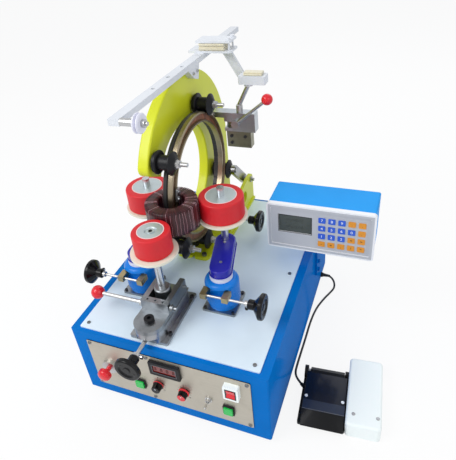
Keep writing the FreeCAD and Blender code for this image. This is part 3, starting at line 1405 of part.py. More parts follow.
key_width = size("key_width", 17)
key_height = size("key_height", 15)
key_pitch = size("key_pitch", 23.5)
keys_left = case_right - 20 - key_pitch * 4 - key_width
keys_top = case_top - 24
key_pad = Design("key_sheet")
key_face = controller_front + 3
key_rise = size("key_rise", 1.6)
key_pad.pad("XZ", [rounded(keys_left - 4, keys_top - key_pitch * 3 - key_height - 4,
                           keys_left + key_pitch * 4 + key_width + 4, keys_top + 4, 3)],
            0.8, key_face - 0.8)
key = key_pad.pad("XZ", [rounded(keys_left, keys_top - key_height, keys_left + key_width,
                                 keys_top, 2)], key_rise, key_face - 0.8 - key_rise)
columns = key_pad.feature("LinearPattern", "columns")
columns.Originals = [key]
columns.Direction = (key_pad.axis("X"), [""])
columns.Occurrences = 5
bind(columns, "Length", key_pitch * 4)
key_pad.body.Tip = columns
for row in range(1, 4):
    top = keys_top - key_pitch * row
    rowed = key_pad.pad("XZ", [rounded(keys_left + key_pitch * n, top - key_height,
                                       keys_left + key_pitch * n + key_width, top, 2)
                               for n in range(5)], key_rise, key_face - 0.8 - key_rise)
keep_design("controller_keypad", key_pad)

post_x = size("controller_post_x", 290)
post_y = size("controller_post_y", 90)
shelf_z = size("shelf_z", 284)
shelf_thickness = size("shelf_thickness", 6)
post_radius = size("controller_post_radius", 12)
arm_y = size("bracket_y", 150)
bracket_width = size("bracket_width", 34)
mount_low = size("bracket_low", 109)
wall = Design("wall_bracket_form")
wall.pad("XZ", [outline([
    (side_x, mount_low), (side_x + shelf_thickness, mount_low),
    (side_x + shelf_thickness, shelf_z - 14), (side_x + shelf_thickness + 14, shelf_z, 14, -1, -1),
    (post_x + 40, shelf_z), (post_x + 40, shelf_z + shelf_thickness),
    (side_x, shelf_z + shelf_thickness)])], bracket_width, arm_y)
wall.pad("XY", [rounded(post_x - 22, post_y - 26, post_x + 40, arm_y + 6, 6)], shelf_thickness,
         shelf_z)
wall.pad("XY", [circle(post_x, post_y, post_radius + 4)], controller_low - swing_gap - shelf_z
         - shelf_thickness, shelf_z + shelf_thickness)
wall.pocket("XY", [circle(post_x, post_y, post_radius + run_gap)],
            controller_low - swing_gap - shelf_z, shelf_z)
wall_screws = [hex_screw(f"wall_{n}", dim(6), dim(5), (side_x + shelf_thickness, arm_y + 17, z), "X")
               for n, z in enumerate((mount_low + 12, mount_low + 42))]
keep("controller_bracket", group("bracket_parts", [wall.body] + wall_screws))
case.pad("XY", [circle(post_x, post_y, post_radius)], controller_low - shelf_z - 2, shelf_z + 2)

# ---------------------------------------------------------------- foot switch
pedal_turn = Rotation(Vector(0, 0, 1), pedal_yaw.value)
half_w = pedal_width / 2
half_l = pedal_length / 2
hinge_y = half_l - 14
hinge_z = size("pedal_hinge_z", 24)
treadle_top = size("treadle_top", 40)
pedal_base = Design("pedal_base_form", (pedal_x, pedal_y, 0), pedal_turn)
skirt_back = size("skirt_back", 6)
pedal_base.pad("XY", [rounded(-half_w - 6, -half_l + skirt_back + 4, half_w, half_l, 4)], 8)
pedal_base.pad("YZ", [outline([(half_l - 28, 8), (half_l, 8), (half_l, hinge_z),
                               (hinge_y, hinge_z + 10, 14, 1, 1), (half_l - 28, hinge_z - 4)])],
               9, -half_w - 6)
pedal_base.pad("YZ", [outline([(half_l - 28, 8), (half_l, 8), (half_l, hinge_z),
                               (hinge_y, hinge_z + 10, 14, 1, 1), (half_l - 28, hinge_z - 4)])],
               9, half_w - 9)
pin_radius = size("pedal_pin", 4)
pedal_base.pocket("YZ", [circle(hinge_y, hinge_z, pin_radius + run_gap)], pedal_width + 6,
                  -half_w - 6)
pedal_base.body.setExpression("Placement.Rotation.Angle", pedal_yaw.text)
case_body = Design("pedal_case_form", (pedal_x, pedal_y, 0), pedal_turn)
case_body.pad("XY", [rounded(half_w, -half_l + 8, half_w + pedal_box_width,
                             -half_l + 8 + pedal_box_length, 10)], pedal_box_height)
case_body.round(6, lambda e: e.BoundBox.ZMin > pedal_box_height.value - 0.01)
case_body.body.setExpression("Placement.Rotation.Angle", pedal_yaw.text)
grommet_radius = size("grommet_radius", 4.5)
grommet_x = size("grommet_x", 279)
grommet_y = size("grommet_y", -152)
grommet_angle = -40
grommet = rod("pedal_grommet", grommet_radius, 14, (grommet_x, grommet_y, grommet_radius + 0.1))
grommet.Placement.Rotation = Rotation(Vector(0, 0, 1), grommet_angle) * AXIS_TURN["X"]
pedal_casting = fuse("pedal_casting", [pedal_base.body, grommet])
keep("foot_switch_base", group("pedal_parts", [pedal_casting, case_body.body]))

treadle = Design("treadle_form", (pedal_x, pedal_y, 0), pedal_turn)
tread_half = half_w - 10
treadle.pad("YZ", [outline([
    (-half_l - 1, 15), (-half_l + skirt_back - 1, 15), (-half_l + skirt_back, 24), (half_l - 30, 30),
    (hinge_y, hinge_z - 9), (hinge_y + 9, hinge_z, 9, 1, 1),
    (half_l - 14, treadle_top - 4, 13, 1, 1), (half_l - 22, treadle_top),
    (-half_l + 1, treadle_top - 4)])], tread_half * 2, -tread_half)
ridge = treadle.pocket("XY", [rectangle(-tread_half + 6, -half_l + 12, tread_half - 6,
                                        -half_l + 15)], 12, treadle_top - 5.5)
treadle.along(ridge, "Y", size("tread_pitch", 8) * 12, 13)
treadle.pad("YZ", [circle(hinge_y, hinge_z, pin_radius)], tread_half * 2 + 18, -tread_half - 9)
treadle.body.setExpression("Placement.Rotation.Angle", pedal_yaw.text)
keep_design("foot_treadle", treadle)

# ---------------------------------------------------------------- cables and their glands
foot_cable_radius = size("foot_cable_radius", 3)
wire_cable_radius = size("wire_cable_radius", 3.5)
gland_reach = size("gland_reach", 13)


def gland(name, y, z):
    """A gland on the right-hand wall, with its threaded neck inside the wall."""
    nut = doc.addObject("Part::Prism", f"{name}_nut")
    nut.Polygon = 6
    bind(nut, "Circumradius", gland_nut)
    bind(nut, "Height", 6)
    place(nut, (side_x, y, z), AXIS_TURN["X"])
    dome = cone(f"{name}_dome", gland_nut * 0.8, gland_nut * 0.6, gland_reach - 6, (side_x + 6, y, z),
                "X")
    neck = rod(f"{name}_neck", gland_bore - run_gap, sheet_metal + 8,
               (side_x - sheet_metal - 8, y, z), "X")
    return fuse(name, [nut, dome, neck])


plug_x = size("plug_x", 342)
plug_y = size("plug_y", 100)
plug_length = size("plug_length", 18)
plug_radius = size("plug_radius", 8)
plug = rod("controller_plug", plug_radius, plug_length,
           (plug_x, plug_y, controller_low - plug_length))
glands = [gland("foot_gland", foot_gland_y, foot_gland_z),
          gland("wire_gland", wire_gland_y, wire_gland_z)]
keep("screws_and_glands", group("screws", screws + base_screws + glands))
case_parts = doc.getObject("controller_parts")
case_parts.Links = case_parts.Links + [plug]


def tube(label, radius, points):
    """A cable of straight runs joined by tangent arcs, through points of its route."""
    points = [Vector(*[dim(c).value for c in p]) for p in points]
    radius = dim(radius).value
    here = points[0]
    edges = []
    smallest = None
    for before, corner, after in zip(points, points[1:], points[2:]):
        to_before = before - corner
        to_after = after - corner
        half_turn = (math.pi - to_before.getAngle(to_after)) / 2
        trim = 0.45 * min(to_before.Length, to_after.Length)
        bend = trim / math.tan(half_turn)
        to_before.normalize()
        to_after.normalize()
        start = corner + to_before * trim
        end = corner + to_after * trim
        inward = (to_before + to_after).normalize()
        middle = corner + inward * (bend / math.cos(half_turn) - bend)
        edges.append(Part.LineSegment(here, start).toShape())
        edges.append(Part.Arc(start, middle, end).toShape())
        here = end
        smallest = bend if smallest is None else min(smallest, bend)
    edges.append(Part.LineSegment(here, points[-1]).toShape())
    path = Part.Wire(edges)
    across = Part.Circle(points[0], points[1] - points[0], radius).toShape()
    solid = path.makePipeShell([Part.Wire([across])], True, False)
    share = solid.Volume / (math.pi * radius * radius * path.Length)
    if abs(share - 1) > 0.01:
        raise RuntimeError(f"{label}: volume is {share:.3f} of its section times its length")
    print(f"{label}: length {path.Length:.0f} mm, smallest bend {smallest:.0f} mm")
    obj = doc.addObject("Part::Feature", label + "_tube")
    obj.Shape = solid
    keep(label, obj)


# The foot cable leaves the wall low down, drops to the bench, doubles back and runs forward.
foot_x = side_x + gland_reach
run_x = dcos(grommet_angle) * 18
run_y = dsin(grommet_angle) * 18
tube("foot_cable", foot_cable_radius, [
    (foot_x, foot_gland_y, foot_gland_z), (foot_x + 14, foot_gland_y, foot_gland_z),
    (289.3, 244.3, 20), (296.9, 232.6, 12.5), (298, 218.6, 6), (289.9, 200.3, 3.2),
    (275.4, 166.2, 3.2), (261, 118, 3.2), (256.2, 62, 3.2), (256.4, -2, 3.2),
    (255.4, -58, 3.2), (255, -96, 3.2), (255.8, -122.8, 3.4),
    (grommet_x - run_x, grommet_y - run_y, grommet_radius - 0.3),
    (grommet_x, grommet_y, grommet_radius + 0.1)])

# The controller's cable hangs from its plug and goes back to the wall.
tube("controller_cable", wire_cable_radius, [
    (plug_x, plug_y, controller_low - plug_length), (plug_x, plug_y, 260),
    (plug_x - 5, plug_y + 24, 230), (plug_x - 23, plug_y + 60, 208),
    (foot_x + 26, wire_gland_y, wire_gland_z), (foot_x, wire_gland_y, wire_gland_z)])

# ---------------------------------------------------------------- checks and files
doc.recompute()
for obj in doc.Objects:
    if "Invalid" in obj.State or "Error" in obj.State:
        raise RuntimeError(f"{obj.Name} ({obj.Label}) is {obj.State}")
os.makedirs("parts", exist_ok=True)
for label, obj in parts:
    shape = obj.Shape
    if shape.isNull() or not shape.isValid() or not shape.Solids:
        raise RuntimeError(f"{label} has no valid solid")
    shape.exportStep(f"parts/{label}.step")
    print(f"{label:22s} {len(shape.Solids)} solids, {shape.Volume / 1000:9.1f} cm3")
print(len(parts), "files")
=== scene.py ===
"""Toroidal coil winding machine: finishes, fittings, wire, cables, light and camera.

The machine's own frame has +Z up, +X to the operator's right along the control panel and +Y away
from the operator, with the origin under the middle of the cabinet. Lengths are metres. Millimetres
are used for the places that choose a face's finish, and for sizes that are written times MM.
"""

from __future__ import annotations

import logging
import math
import random
from contextlib import contextmanager
from dataclasses import dataclass
from enum import Enum
from functools import cache
from typing import Callable, Iterator, Sequence

import bpy
from mathutils import Matrix, Vector


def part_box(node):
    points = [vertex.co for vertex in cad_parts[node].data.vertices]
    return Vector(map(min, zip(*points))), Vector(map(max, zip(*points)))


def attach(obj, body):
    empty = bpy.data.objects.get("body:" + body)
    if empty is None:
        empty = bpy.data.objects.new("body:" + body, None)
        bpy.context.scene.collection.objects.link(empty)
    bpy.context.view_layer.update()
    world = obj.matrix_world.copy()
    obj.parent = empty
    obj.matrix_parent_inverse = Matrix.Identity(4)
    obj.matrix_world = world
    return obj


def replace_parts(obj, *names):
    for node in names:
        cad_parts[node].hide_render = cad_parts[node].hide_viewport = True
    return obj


log = logging.getLogger("coil_winder")
Point = tuple[float, float, float]
Colour = tuple[float, float, float]
Pair = tuple[float, float]
Trio = tuple[float, float, float]
Quad = tuple[float, float, float, float]
Chooser = Callable[[Vector, Vector], bool]
Piece = bpy.types.Object
Material = bpy.types.Material
MM = 0.001
FACING = 0.9  # the least share of a normal along the direction that its face looks in


# ------------------------------------------------------------------ shader maths
def shade(red: int, green: int, blue: int) -> Colour:
    """Turns a colour written in screen values, 0 to 255, into linear light."""
    return tuple(
        c / 12.92 if c <= 0.04045 else ((c + 0.055) / 1.055) ** 2.4
        for c in (red / 255, green / 255, blue / 255)
    )


class Signal:
    """A node's output that arithmetic can be written on."""

    def __init__(self, graph: Graph, socket: bpy.types.NodeSocket) -> None:
        """Wraps one output socket of a graph."""
        self.graph = graph
        self.socket = socket

    def maths(self, operation: str, *others: Signal | float) -> Signal:
        """Adds a Math node with this signal as its first value."""
        values = {0: self, **dict(enumerate(others, 1))}
        return self.graph.node("ShaderNodeMath", {"operation": operation}, values)

    def __add__(self, other: Signal | float) -> Signal:
        """Sum."""
        return self.maths("ADD", other)

    def __sub__(self, other: Signal | float) -> Signal:
        """Difference."""
        return self.maths("SUBTRACT", other)

    def __mul__(self, other: Signal | float) -> Signal:
        """Product."""
        return self.maths("MULTIPLY", other)

    def __rsub__(self, other: float) -> Signal:
        """Difference from a number."""
        return self.graph.node("ShaderNodeMath", {"operation": "SUBTRACT"}, {0: other, 1: self})

    __radd__ = __add__
    __rmul__ = __mul__

    def between(self, low: float, high: float) -> Signal:
        """Rises smoothly from 0 at low to 1 at high."""
        values = {"Value": self, "From Min": low, "From Max": high}
        return self.graph.node("ShaderNodeMapRange", {"interpolation_type": "SMOOTHSTEP"}, values)

    def fit(self, low: float, high: float) -> Signal:
        """Spreads a 0 to 1 signal from low to high."""
        return self * (high - low) + low


class Graph:
    """The node tree of a material or of the world."""

    def __init__(self, owner: bpy.types.ID, output: str = "ShaderNodeOutputMaterial") -> None:
        """Empties a tree and gives it its output node.

        Args:
            owner: the material or world.
            output: the output node's type.
        """
        owner.use_nodes = True
        self.owner = owner
        self.tree = owner.node_tree
        self.tree.nodes.clear()
        self.out = self.tree.nodes.new(output)

    def node(
        self, kind: str, settings: dict | None = None, values: dict | None = None, output: int | str = 0
    ) -> Signal:
        """Adds any node.

        Args:
            kind: the node's type.
            settings: properties that are set first.
            values: numbers, colours or signals for its sockets, by name or index.
            output: the output that is wanted.

        Returns:
            That output as a signal.
        """
        made = self.tree.nodes.new(kind)
        for key, value in (settings or {}).items():
            setattr(made, key, value)
        for key, value in (values or {}).items():
            socket = made.inputs[key]
            if isinstance(value, Signal):
                self.tree.links.new(value.socket, socket)
            elif socket.type == "RGBA":
                socket.default_value = (*value, 1.0)
            else:
                socket.default_value = value
        return Signal(self, made.outputs[output])

    def place(self, centre: Point = (0, 0, 0), scale: Point = (1, 1, 1)) -> Signal:
        """Object coordinates about a centre, scaled.

        Args:
            centre: the point that they are measured from.
            scale: how much they grow along X, Y and Z.

        Returns:
            The coordinates.
        """
        spot = self.node("ShaderNodeTexCoord", output="Object")
        moved = self.node("ShaderNodeVectorMath", {"operation": "SUBTRACT"}, {0: spot, 1: centre})
        return self.node("ShaderNodeMapping", {"vector_type": "POINT"}, {"Vector": moved, "Scale": scale})

    def split(self, vector: Signal) -> list[Signal]:
        """The three parts of a vector.

        Args:
            vector: the vector.

        Returns:
            Its X, Y and Z.
        """
        first = self.node("ShaderNodeSeparateXYZ", None, {0: vector})
        return [Signal(self, socket) for socket in first.socket.node.outputs]

    def noise(
        self, scale: float, detail: float = 3.0, vector: Signal | None = None, rough: float = 0.5
    ) -> Signal:
        """Noise of a size on the piece, 0 to 1."""
        values = {"Vector": vector or self.place(), "Scale": scale, "Detail": detail, "Roughness": rough}
        return self.node("ShaderNodeTexNoise", None, values)

    def mix(self, share: Signal | float, first: Signal | Colour, second: Signal | Colour) -> Signal:
        """Blends two colours."""
        values = {0: share, 6: first, 7: second}
        return self.node("ShaderNodeMix", {"data_type": "RGBA"}, values, output=2)

    def bump(self, height: Signal, depth: float, strength: float = 0.5) -> Signal:
        """A surface whose relief is height times depth, in metres."""
        values = {"Height": height, "Distance": depth, "Strength": strength}
        return self.node("ShaderNodeBump", None, values)

    def close(self, shader: Signal) -> bpy.types.ID:
        """Links a shader to the output and hands back the material or world."""
        self.tree.links.new(shader.socket, self.out.inputs[0])
        return self.owner

    def finish(self, **sockets: Signal | float | Colour) -> Material:
        """Closes the tree with a Principled shader whose inputs are named with underscores."""
        values = {key.replace("_", " "): value for key, value in sockets.items()}
        return self.close(self.node("ShaderNodeBsdfPrincipled", None, values))


# ------------------------------------------------------------------ finishes
class Axis(Enum):
    """Directions along which a tool has left its marks, or a round piece runs."""

    X = 0
    Y = 1
    Z = 2


@dataclass(frozen=True)
class Finish:
    """A surface finish that is made into one material and then shared."""

    name: str
    colour: Colour

    @cache
    def material(self) -> Material:
        """The finish as a material, built once."""
        return self.build(Graph(bpy.data.materials.new(self.name)))

    def build(self, graph: Graph) -> Material:
        """Fills the material's nodes."""
        raise NotImplementedError

    def tint(self, share: float, lift: float = 0.0) -> Colour:
        """Its colour times a share and lifted, at most white."""
        return tuple(min(1.0, c * share + lift) for c in self.colour)


@dataclass(frozen=True)
class Enamel(Finish):
    """Sprayed enamel or powder coat over metal, with a little orange peel and dust."""

    roughness: float = 0.3
    peel: float = 0.00006
    coat: float = 0.35
    shine: float = 0.3

    def build(self, graph: Graph) -> Material:
        """Fills the material's nodes."""
        broad = graph.noise(6.0).between(0.3, 0.7)
        fine = graph.noise(420.0, 2.0)
        dust = graph.noise(38.0, 6.0, rough=0.7).between(0.55, 0.85)
        base = graph.mix(broad, self.tint(0.94), self.tint(1.03, 0.002))
        return graph.finish(
            Base_Color=graph.mix(dust * 0.04, base, self.tint(0.7, 0.16)),
            Roughness=fine.fit(self.roughness - 0.05, self.roughness + 0.05) + dust * 0.08,
            Coat_Weight=self.coat,
            Coat_Roughness=0.12,
            Specular_IOR_Level=self.shine,
            Normal=graph.bump(fine, self.peel, 0.6),
        )


@dataclass(frozen=True)
class Milled(Finish):
    """Ground or milled metal with fine marks along one direction."""

    along: Axis = Axis.X
    roughness: float = 0.32
    # share of darker random patches: stains, and in cross_milled_steel also painted shade
    stain_and_shade: float = 0.25

    def build(self, graph: Graph) -> Material:
        """Fills the material's nodes."""
        stretch = [900.0, 900.0, 900.0]
        stretch[self.along.value] = 14.0
        marks = graph.noise(1.0, 4.0, graph.place(scale=tuple(stretch)))
        stains_and_shade = graph.noise(26.0, 5.0, rough=0.65).between(0.42, 0.8)
        base = graph.mix(marks.fit(0.0, 0.35), self.colour, self.tint(0.55))
        return graph.finish(
            Base_Color=graph.mix(stains_and_shade * self.stain_and_shade, base, self.tint(0.38)),
            Metallic=1.0,
            Roughness=marks.fit(self.roughness - 0.08, self.roughness + 0.1) + stains_and_shade * 0.12,
            Normal=graph.bump(marks, 0.000008),
        )


@dataclass(frozen=True)
class Turned(Finish):
    """Lathe-turned metal with rings about its own axis."""

    centre: Point
    axis: Axis = Axis.Z
    roughness: float = 0.28
    metallic: float = 1.0

    def build(self, graph: Graph) -> Material:
        """Fills the material's nodes."""
        parts = graph.split(graph.place(self.centre))
        along = parts.pop(self.axis.value)
        reach = (parts[0] * parts[0] + parts[1] * parts[1]).maths("SQRT")
        wobble = graph.noise(30.0, 2.0) * 0.0006
        rings = ((reach + wobble) * 5200.0 + along * 3100.0).maths("SINE").fit(0.5, 1.0)
        grime = graph.noise(34.0, 5.0, rough=0.7).between(0.5, 0.85)
        base = graph.mix(rings * 0.22, self.colour, self.tint(0.5))
        return graph.finish(
            Base_Color=graph.mix(grime * 0.22, base, self.tint(0.4)),
            Metallic=self.metallic,
            Roughness=rings.fit(self.roughness - 0.06, self.roughness + 0.08) + grime * 0.15,
            Normal=graph.bump(rings, 0.00002),
        )


@dataclass(frozen=True)
class Rubber(Finish):
    """Cast polyurethane or rubber with a fine grain and rubbed patches."""

    roughness: float = 0.55
    sheen: float = 0.15

    def build(self, graph: Graph) -> Material:
        """Fills the material's nodes."""
        grain = graph.noise(700.0)
        rubbed = graph.noise(24.0, 4.0, rough=0.6).between(0.45, 0.75)
        base = graph.mix(rubbed * 0.35, self.colour, self.tint(0.72))
        return graph.finish(
            Base_Color=graph.mix(grain * 0.12, base, self.tint(1.1, 0.05)),
            Roughness=grain.fit(self.roughness - 0.06, self.roughness + 0.08) - rubbed * 0.12,
            Sheen_Weight=self.sheen,
            Normal=graph.bump(grain, 0.00005),
        )


@dataclass(frozen=True)
class Moulded(Finish):
    """Moulded plastic, from matte nylon to polished bakelite."""

    roughness: float = 0.35
    grain: float = 0.00002
    speck: float = 0.06
    coat: float = 0.0
    shine: float = 0.4

    def build(self, graph: Graph) -> Material:
        """Fills the material's nodes."""
        grain = graph.noise(1100.0, 2.0)
        cloud = graph.noise(45.0, 4.0, rough=0.6).between(0.35, 0.75)
        return graph.finish(
            Base_Color=graph.mix(cloud * self.speck * 4.0, self.colour, self.tint(1.12, 0.012)),
            Roughness=(grain * 0.1 + cloud * 0.06) + (self.roughness - 0.07),
            Coat_Weight=self.coat,
            Coat_Roughness=0.06,
            Specular_IOR_Level=self.shine,
            Normal=graph.bump(grain, self.grain),
        )


@dataclass(frozen=True)
class FeltWool(Finish):
    """Pressed wool felt: matted fibres and laid sheets seen at the edge."""

    layer: float = 0.004

    def build(self, graph: Graph) -> Material:
        """Fills the material's nodes."""
        fibres = graph.noise(900.0, 6.0, rough=0.75)
        tufts = graph.noise(160.0, 4.0, graph.place(scale=(1.0, 1.0, 2.5)))
        height = graph.split(graph.place())[2]
        seams = (height * (math.tau / self.layer)).maths("SINE").between(0.86, 1.0)
        base = graph.mix(fibres.between(0.3, 0.7), self.tint(0.88), self.colour)
        base = graph.mix(tufts.between(0.4, 0.75) * 0.3, base, self.tint(1.1))
        relief = fibres * 0.5 + tufts * 0.5 - seams * 0.8
        return graph.finish(
            Base_Color=graph.mix(seams * 0.3, base, self.tint(0.5)),
            Roughness=0.95,
            Sheen_Weight=0.5,
            Normal=graph.bump(relief, 0.0006, 0.8),
        )


@dataclass(frozen=True)
class MagnetWire(Finish):
    """Enamelled copper wire: clear dark lacquer, rubbed pale here and there."""

    rubbed: Colour
    share: float = 0.25

    def build(self, graph: Graph) -> Material:
        """Fills the material's nodes."""
        patches = graph.noise(70.0, 5.0, graph.place(scale=(1.0, 1.0, 0.3)), 0.7)
        fine = graph.noise(900.0, 2.0)
        worn = patches.between(0.62 - self.share * 0.4, 0.72)
        base = graph.mix(worn * 0.8, self.colour, self.rubbed)
        return graph.finish(
            Base_Color=graph.mix(fine * 0.3, base, self.tint(0.5)),
            Metallic=0.1,
            Roughness=fine.fit(0.34, 0.5),
            Coat_Weight=0.15,
            Coat_Roughness=0.2,
        )


@dataclass(frozen=True)
class Screen(Finish):
    """A smooth dark window or display behind clear plastic."""

    roughness: float = 0.08

    def build(self, graph: Graph) -> Material:
        """Fills the material's nodes."""
        depth = graph.noise(22.0, 2.0)
        smear = graph.noise(60.0, 4.0, rough=0.7)
        return graph.finish(
            Base_Color=graph.mix(depth, self.colour, self.tint(0.6)),
            Roughness=smear.fit(self.roughness, self.roughness + 0.1),
            Coat_Weight=0.4,
            Coat_Roughness=0.03,
        )


BLUE_ENAMEL = Enamel("blue_enamel", shade(4, 112, 196), 0.3, coat=0.1, shine=0.0)
BRIGHT_BLUE = Enamel("bright_blue_enamel", shade(0, 122, 218), 0.26, coat=0.12, shine=0.25)
DECK_COAT = Enamel("pale_deck_coat", shade(224, 239, 250), 0.46, 0.00004, 0.0)
YELLOW_ENAMEL = Enamel("yellow_green_enamel", shade(214, 220, 36), 0.34, 0.00008, 0.15)
NAVY_ENAMEL = Enamel("navy_enamel", shade(24, 22, 165), 0.16, 0.00003, 0.5)
CASE_BLUE = Enamel("light_blue_coat", shade(24, 156, 238), 0.5, 0.00005, 0.0, 0.15)
CASE_WHITE = Moulded("white_bezel", shade(236, 238, 242), 0.35)
PANEL_ALLOY = Milled("panel_alloy", (0.62, 0.58, 0.50), Axis.X, 0.5, 0.06)
STEEL = Milled("milled_steel", (0.42, 0.43, 0.45), Axis.Y, 0.28, 0.45)
# its heavy share of dark patches is partly stains and partly painted shade, darkening the steel in random
# patches
CROSS_STEEL = Milled("cross_milled_steel", (0.33, 0.35, 0.37), Axis.X, 0.3, 0.5)
DARK_STEEL = Milled("blackened_steel", (0.09, 0.09, 0.10), Axis.Y, 0.35, 0.2)
BRIGHT_STEEL = Milled("bright_drawn_steel", (0.60, 0.60, 0.60), Axis.X, 0.3, 0.2)
BRASS = Milled("brass", (0.50, 0.40, 0.22), Axis.X, 0.3, 0.5)
BAR_ALLOY = Enamel("white_anodised_bar", shade(222, 225, 230), 0.45, 0.000004, 0.0)
JAW_STEEL = Milled("olive_blued_steel", (0.34, 0.33, 0.25), Axis.X, 0.34, 0.5)
BLACK_RUBBER = Rubber("black_rubber", shade(24, 24, 26), 0.6)
RED_TYRE = Rubber("red_polyurethane", shade(212, 12, 28), 0.5, 0.0)
CREAM_NYLON = Moulded("cream_nylon", shade(232, 230, 212), 0.4)
WHITE_NYLON = Moulded("white_nylon", shade(228, 228, 240), 0.35)
BLACK_GLOSS = Moulded("black_bakelite", (0.003, 0.003, 0.004), 0.2, 0.00001, 0.02, 0.12, 0.2)
BLACK_NYLON = Moulded("black_nylon", (0.007, 0.007, 0.009), 0.36, shine=0.25)
COOL_STEEL = Milled("cool_ground_steel", (0.56, 0.60, 0.64), Axis.X, 0.3, 0.3)
SCREW_STEEL = Milled("zinc_screw_steel", (0.27, 0.28, 0.29), Axis.X, 0.34, 0.2)
BLACK_MATTE = Moulded("black_housing", (0.010, 0.010, 0.012), 0.5, shine=0.25)
RED_GLOSS = Moulded("red_gloss", shade(222, 18, 36), 0.2, coat=0.3)
GREEN_LENS = Moulded("green_lens", shade(18, 188, 78), 0.24, coat=0.2)
WHITE_PLASTIC = Moulded("white_housing", shade(246, 253, 251), 0.38)
FACE_GREY = Moulded("grey_membrane", shade(184, 187, 194), 0.5)
KEY_BLUE = Moulded("blue_key", shade(45, 92, 205), 0.4)
KEY_ORANGE = Moulded("orange_key", shade(222, 146, 44), 0.4)
INK_WHITE = Moulded("white_ink", shade(238, 242, 248), 0.5)
INK_BLACK = Moulded("black_ink", shade(28, 24, 22), 0.5)
LCD_GLASS = Screen("lcd_glass", shade(66, 72, 66))
METER_GLASS = Screen("red_meter_glass", shade(136, 24, 20))
FELT = FeltWool("cream_felt", shade(232, 224, 196))
RING_BRONZE = Turned("ring_bronze", (0.36, 0.30, 0.21), (-0.04, 0.059, 0.462), Axis.X, 0.3)
DRIVE_BLACK = Turned("drive_ring_black", (0.015, 0.015, 0.016), (-0.055, 0.059, 0.462), Axis.X, 0.42, 0.0)
PEDAL_BLACK = Enamel("pedal_black", shade(10, 11, 14), 0.42, 0.00008, 0.1, 0.15)
CABLE_SLEEVE = Rubber("black_cable_sleeve", shade(20, 22, 26), 0.5)
CORE_WIRE = MagnetWire("core_wire", shade(98, 36, 44), shade(150, 100, 106), 0.05)
CORE_DARK = MagnetWire("core_wire_dark", shade(52, 16, 22), shade(90, 44, 50), 0.03)
# Pale pink wire, for the strands at the front right and for the pale turns, which are painted highlights
# along the wire.
CORE_PALE = MagnetWire("core_wire_pale", shade(198, 148, 156), shade(226, 206, 210), 0.3)
COPPER_TURNS = MagnetWire("copper_turns", shade(120, 72, 46), shade(190, 120, 80), 0.5)
METER_DIGITS = Moulded("meter_digits", shade(88, 16, 14), 0.3)
TREAD_NAVY = Enamel("treadle_navy", shade(18, 24, 40), 0.3, 0.00004, 0.1, 0.15)
TREAD_BAND = Enamel("treadle_band", shade(46, 54, 72), 0.36, 0.00004, 0.1, 0.15)
FRAME_GREY = Moulded("meter_frame_grey", shade(96, 98, 104), 0.4)
PALE_RIM = Moulded("pale_disc_rim", shade(244, 214, 214), 0.4)
LCD_INK = Moulded("lcd_ink", shade(58, 64, 60), 0.5)
LILAC_LIP = Moulded("lilac_lip", shade(206, 206, 236), 0.4)


# ------------------------------------------------------------------ modelling helpers
def paint(piece: Piece, *finishes: Finish) -> Piece:
    """Adds a material slot for each finish and hands the piece back."""
    for finish in finishes:
        piece.data.materials.append(finish.material())
    return piece


def dress(name: str, finish: Finish, *zones: tuple[Finish, Chooser]) -> None:
    """Gives a construction node its finish, and others where a zone's test holds.

    Args:
        name: the node.
        finish: what it is made of.
        *zones: further finishes, each with a test of a face's middle, in mm, and normal.
    """
    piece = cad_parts[name]
    piece.data.materials.clear()
    paint(piece, finish, *[coat for coat, _ in zones])
    for face in piece.data.polygons:
        middle = face.center / MM
        face.material_index = 0
        for number, (_, test) in enumerate(zones, 1):
            if test(middle, face.normal):
                face.material_index = number
    log.info("dressed %s", name)


def fresh() -> None:
    """Leaves edit mode and deselects everything."""
    if bpy.context.object and bpy.context.object.mode != "OBJECT":
        bpy.ops.object.mode_set(mode="OBJECT")
    bpy.ops.object.select_all(action="DESELECT")


def only(piece: Piece) -> None:
    """Makes one object the selected and active one."""
    fresh()
    piece.select_set(True)
    bpy.context.view_layer.objects.active = piece


@contextmanager
def editing(piece: Piece) -> Iterator[None]:
    """Edit mode on one object, with all of its mesh selected."""
    only(piece)
    bpy.ops.object.mode_set(mode="EDIT")
    bpy.ops.mesh.select_all(action="SELECT")
    yield
    bpy.ops.object.mode_set(mode="OBJECT")


def linked(name: str, data: bpy.types.ID) -> Piece:
    """Puts a new object with some data in the scene.

    Args:
        name: its name.
        data: its mesh, curve, light or camera.

    Returns:
        The object.
    """
    piece = bpy.data.objects.new(name, data)
    bpy.context.scene.collection.objects.link(piece)
    return piece


def seat(piece: Piece) -> Piece:
    """Makes an object a mesh that holds its own place, turn and scale.

    Args:
        piece: a mesh, curve or text.

    Returns:
        The mesh object.
    """
    only(piece)
    if piece.type != "MESH":
        bpy.ops.object.convert(target="MESH")
        piece = bpy.context.object
    bpy.ops.object.transform_apply(location=True, rotation=True, scale=True)
    return piece


def polish(piece: Piece, bevel: float = 0.0, segments: int = 2, smooth: float = 35.0) -> None:
    """Rounds a piece's edges and smooths its shading.

    Args:
        piece: the piece, in place.
        bevel: the width of the rounding, in metres.
        segments: how many faces round each edge.
        smooth: the angle in degrees under which faces shade as one.
    """
    only(piece)
    if bevel:
        modifier = piece.modifiers.new("edge", "BEVEL")
        modifier.width = bevel
        modifier.segments = segments
        modifier.limit_method = "ANGLE"
        modifier.angle_limit = math.radians(30)
        bpy.ops.object.modifier_apply(modifier=modifier.name)
    bpy.ops.object.shade_smooth_by_angle(angle=math.radians(smooth))


def keep(piece: Piece, name: str, finish: Finish, body: str = "machine") -> Piece:
    """Names a piece, gives it a finish and lets it ride on a body.

    Args:
        piece: the piece, with its place in its mesh.
        name: its name.
        finish: its finish, unless it has materials already.
        body: the moving body that carries it.

    Returns:
        The piece.
    """
    piece.name = name
    if not piece.data.materials:
        paint(piece, finish)
    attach(piece, body)
    log.info("made %s on %s", name, body)
    return piece


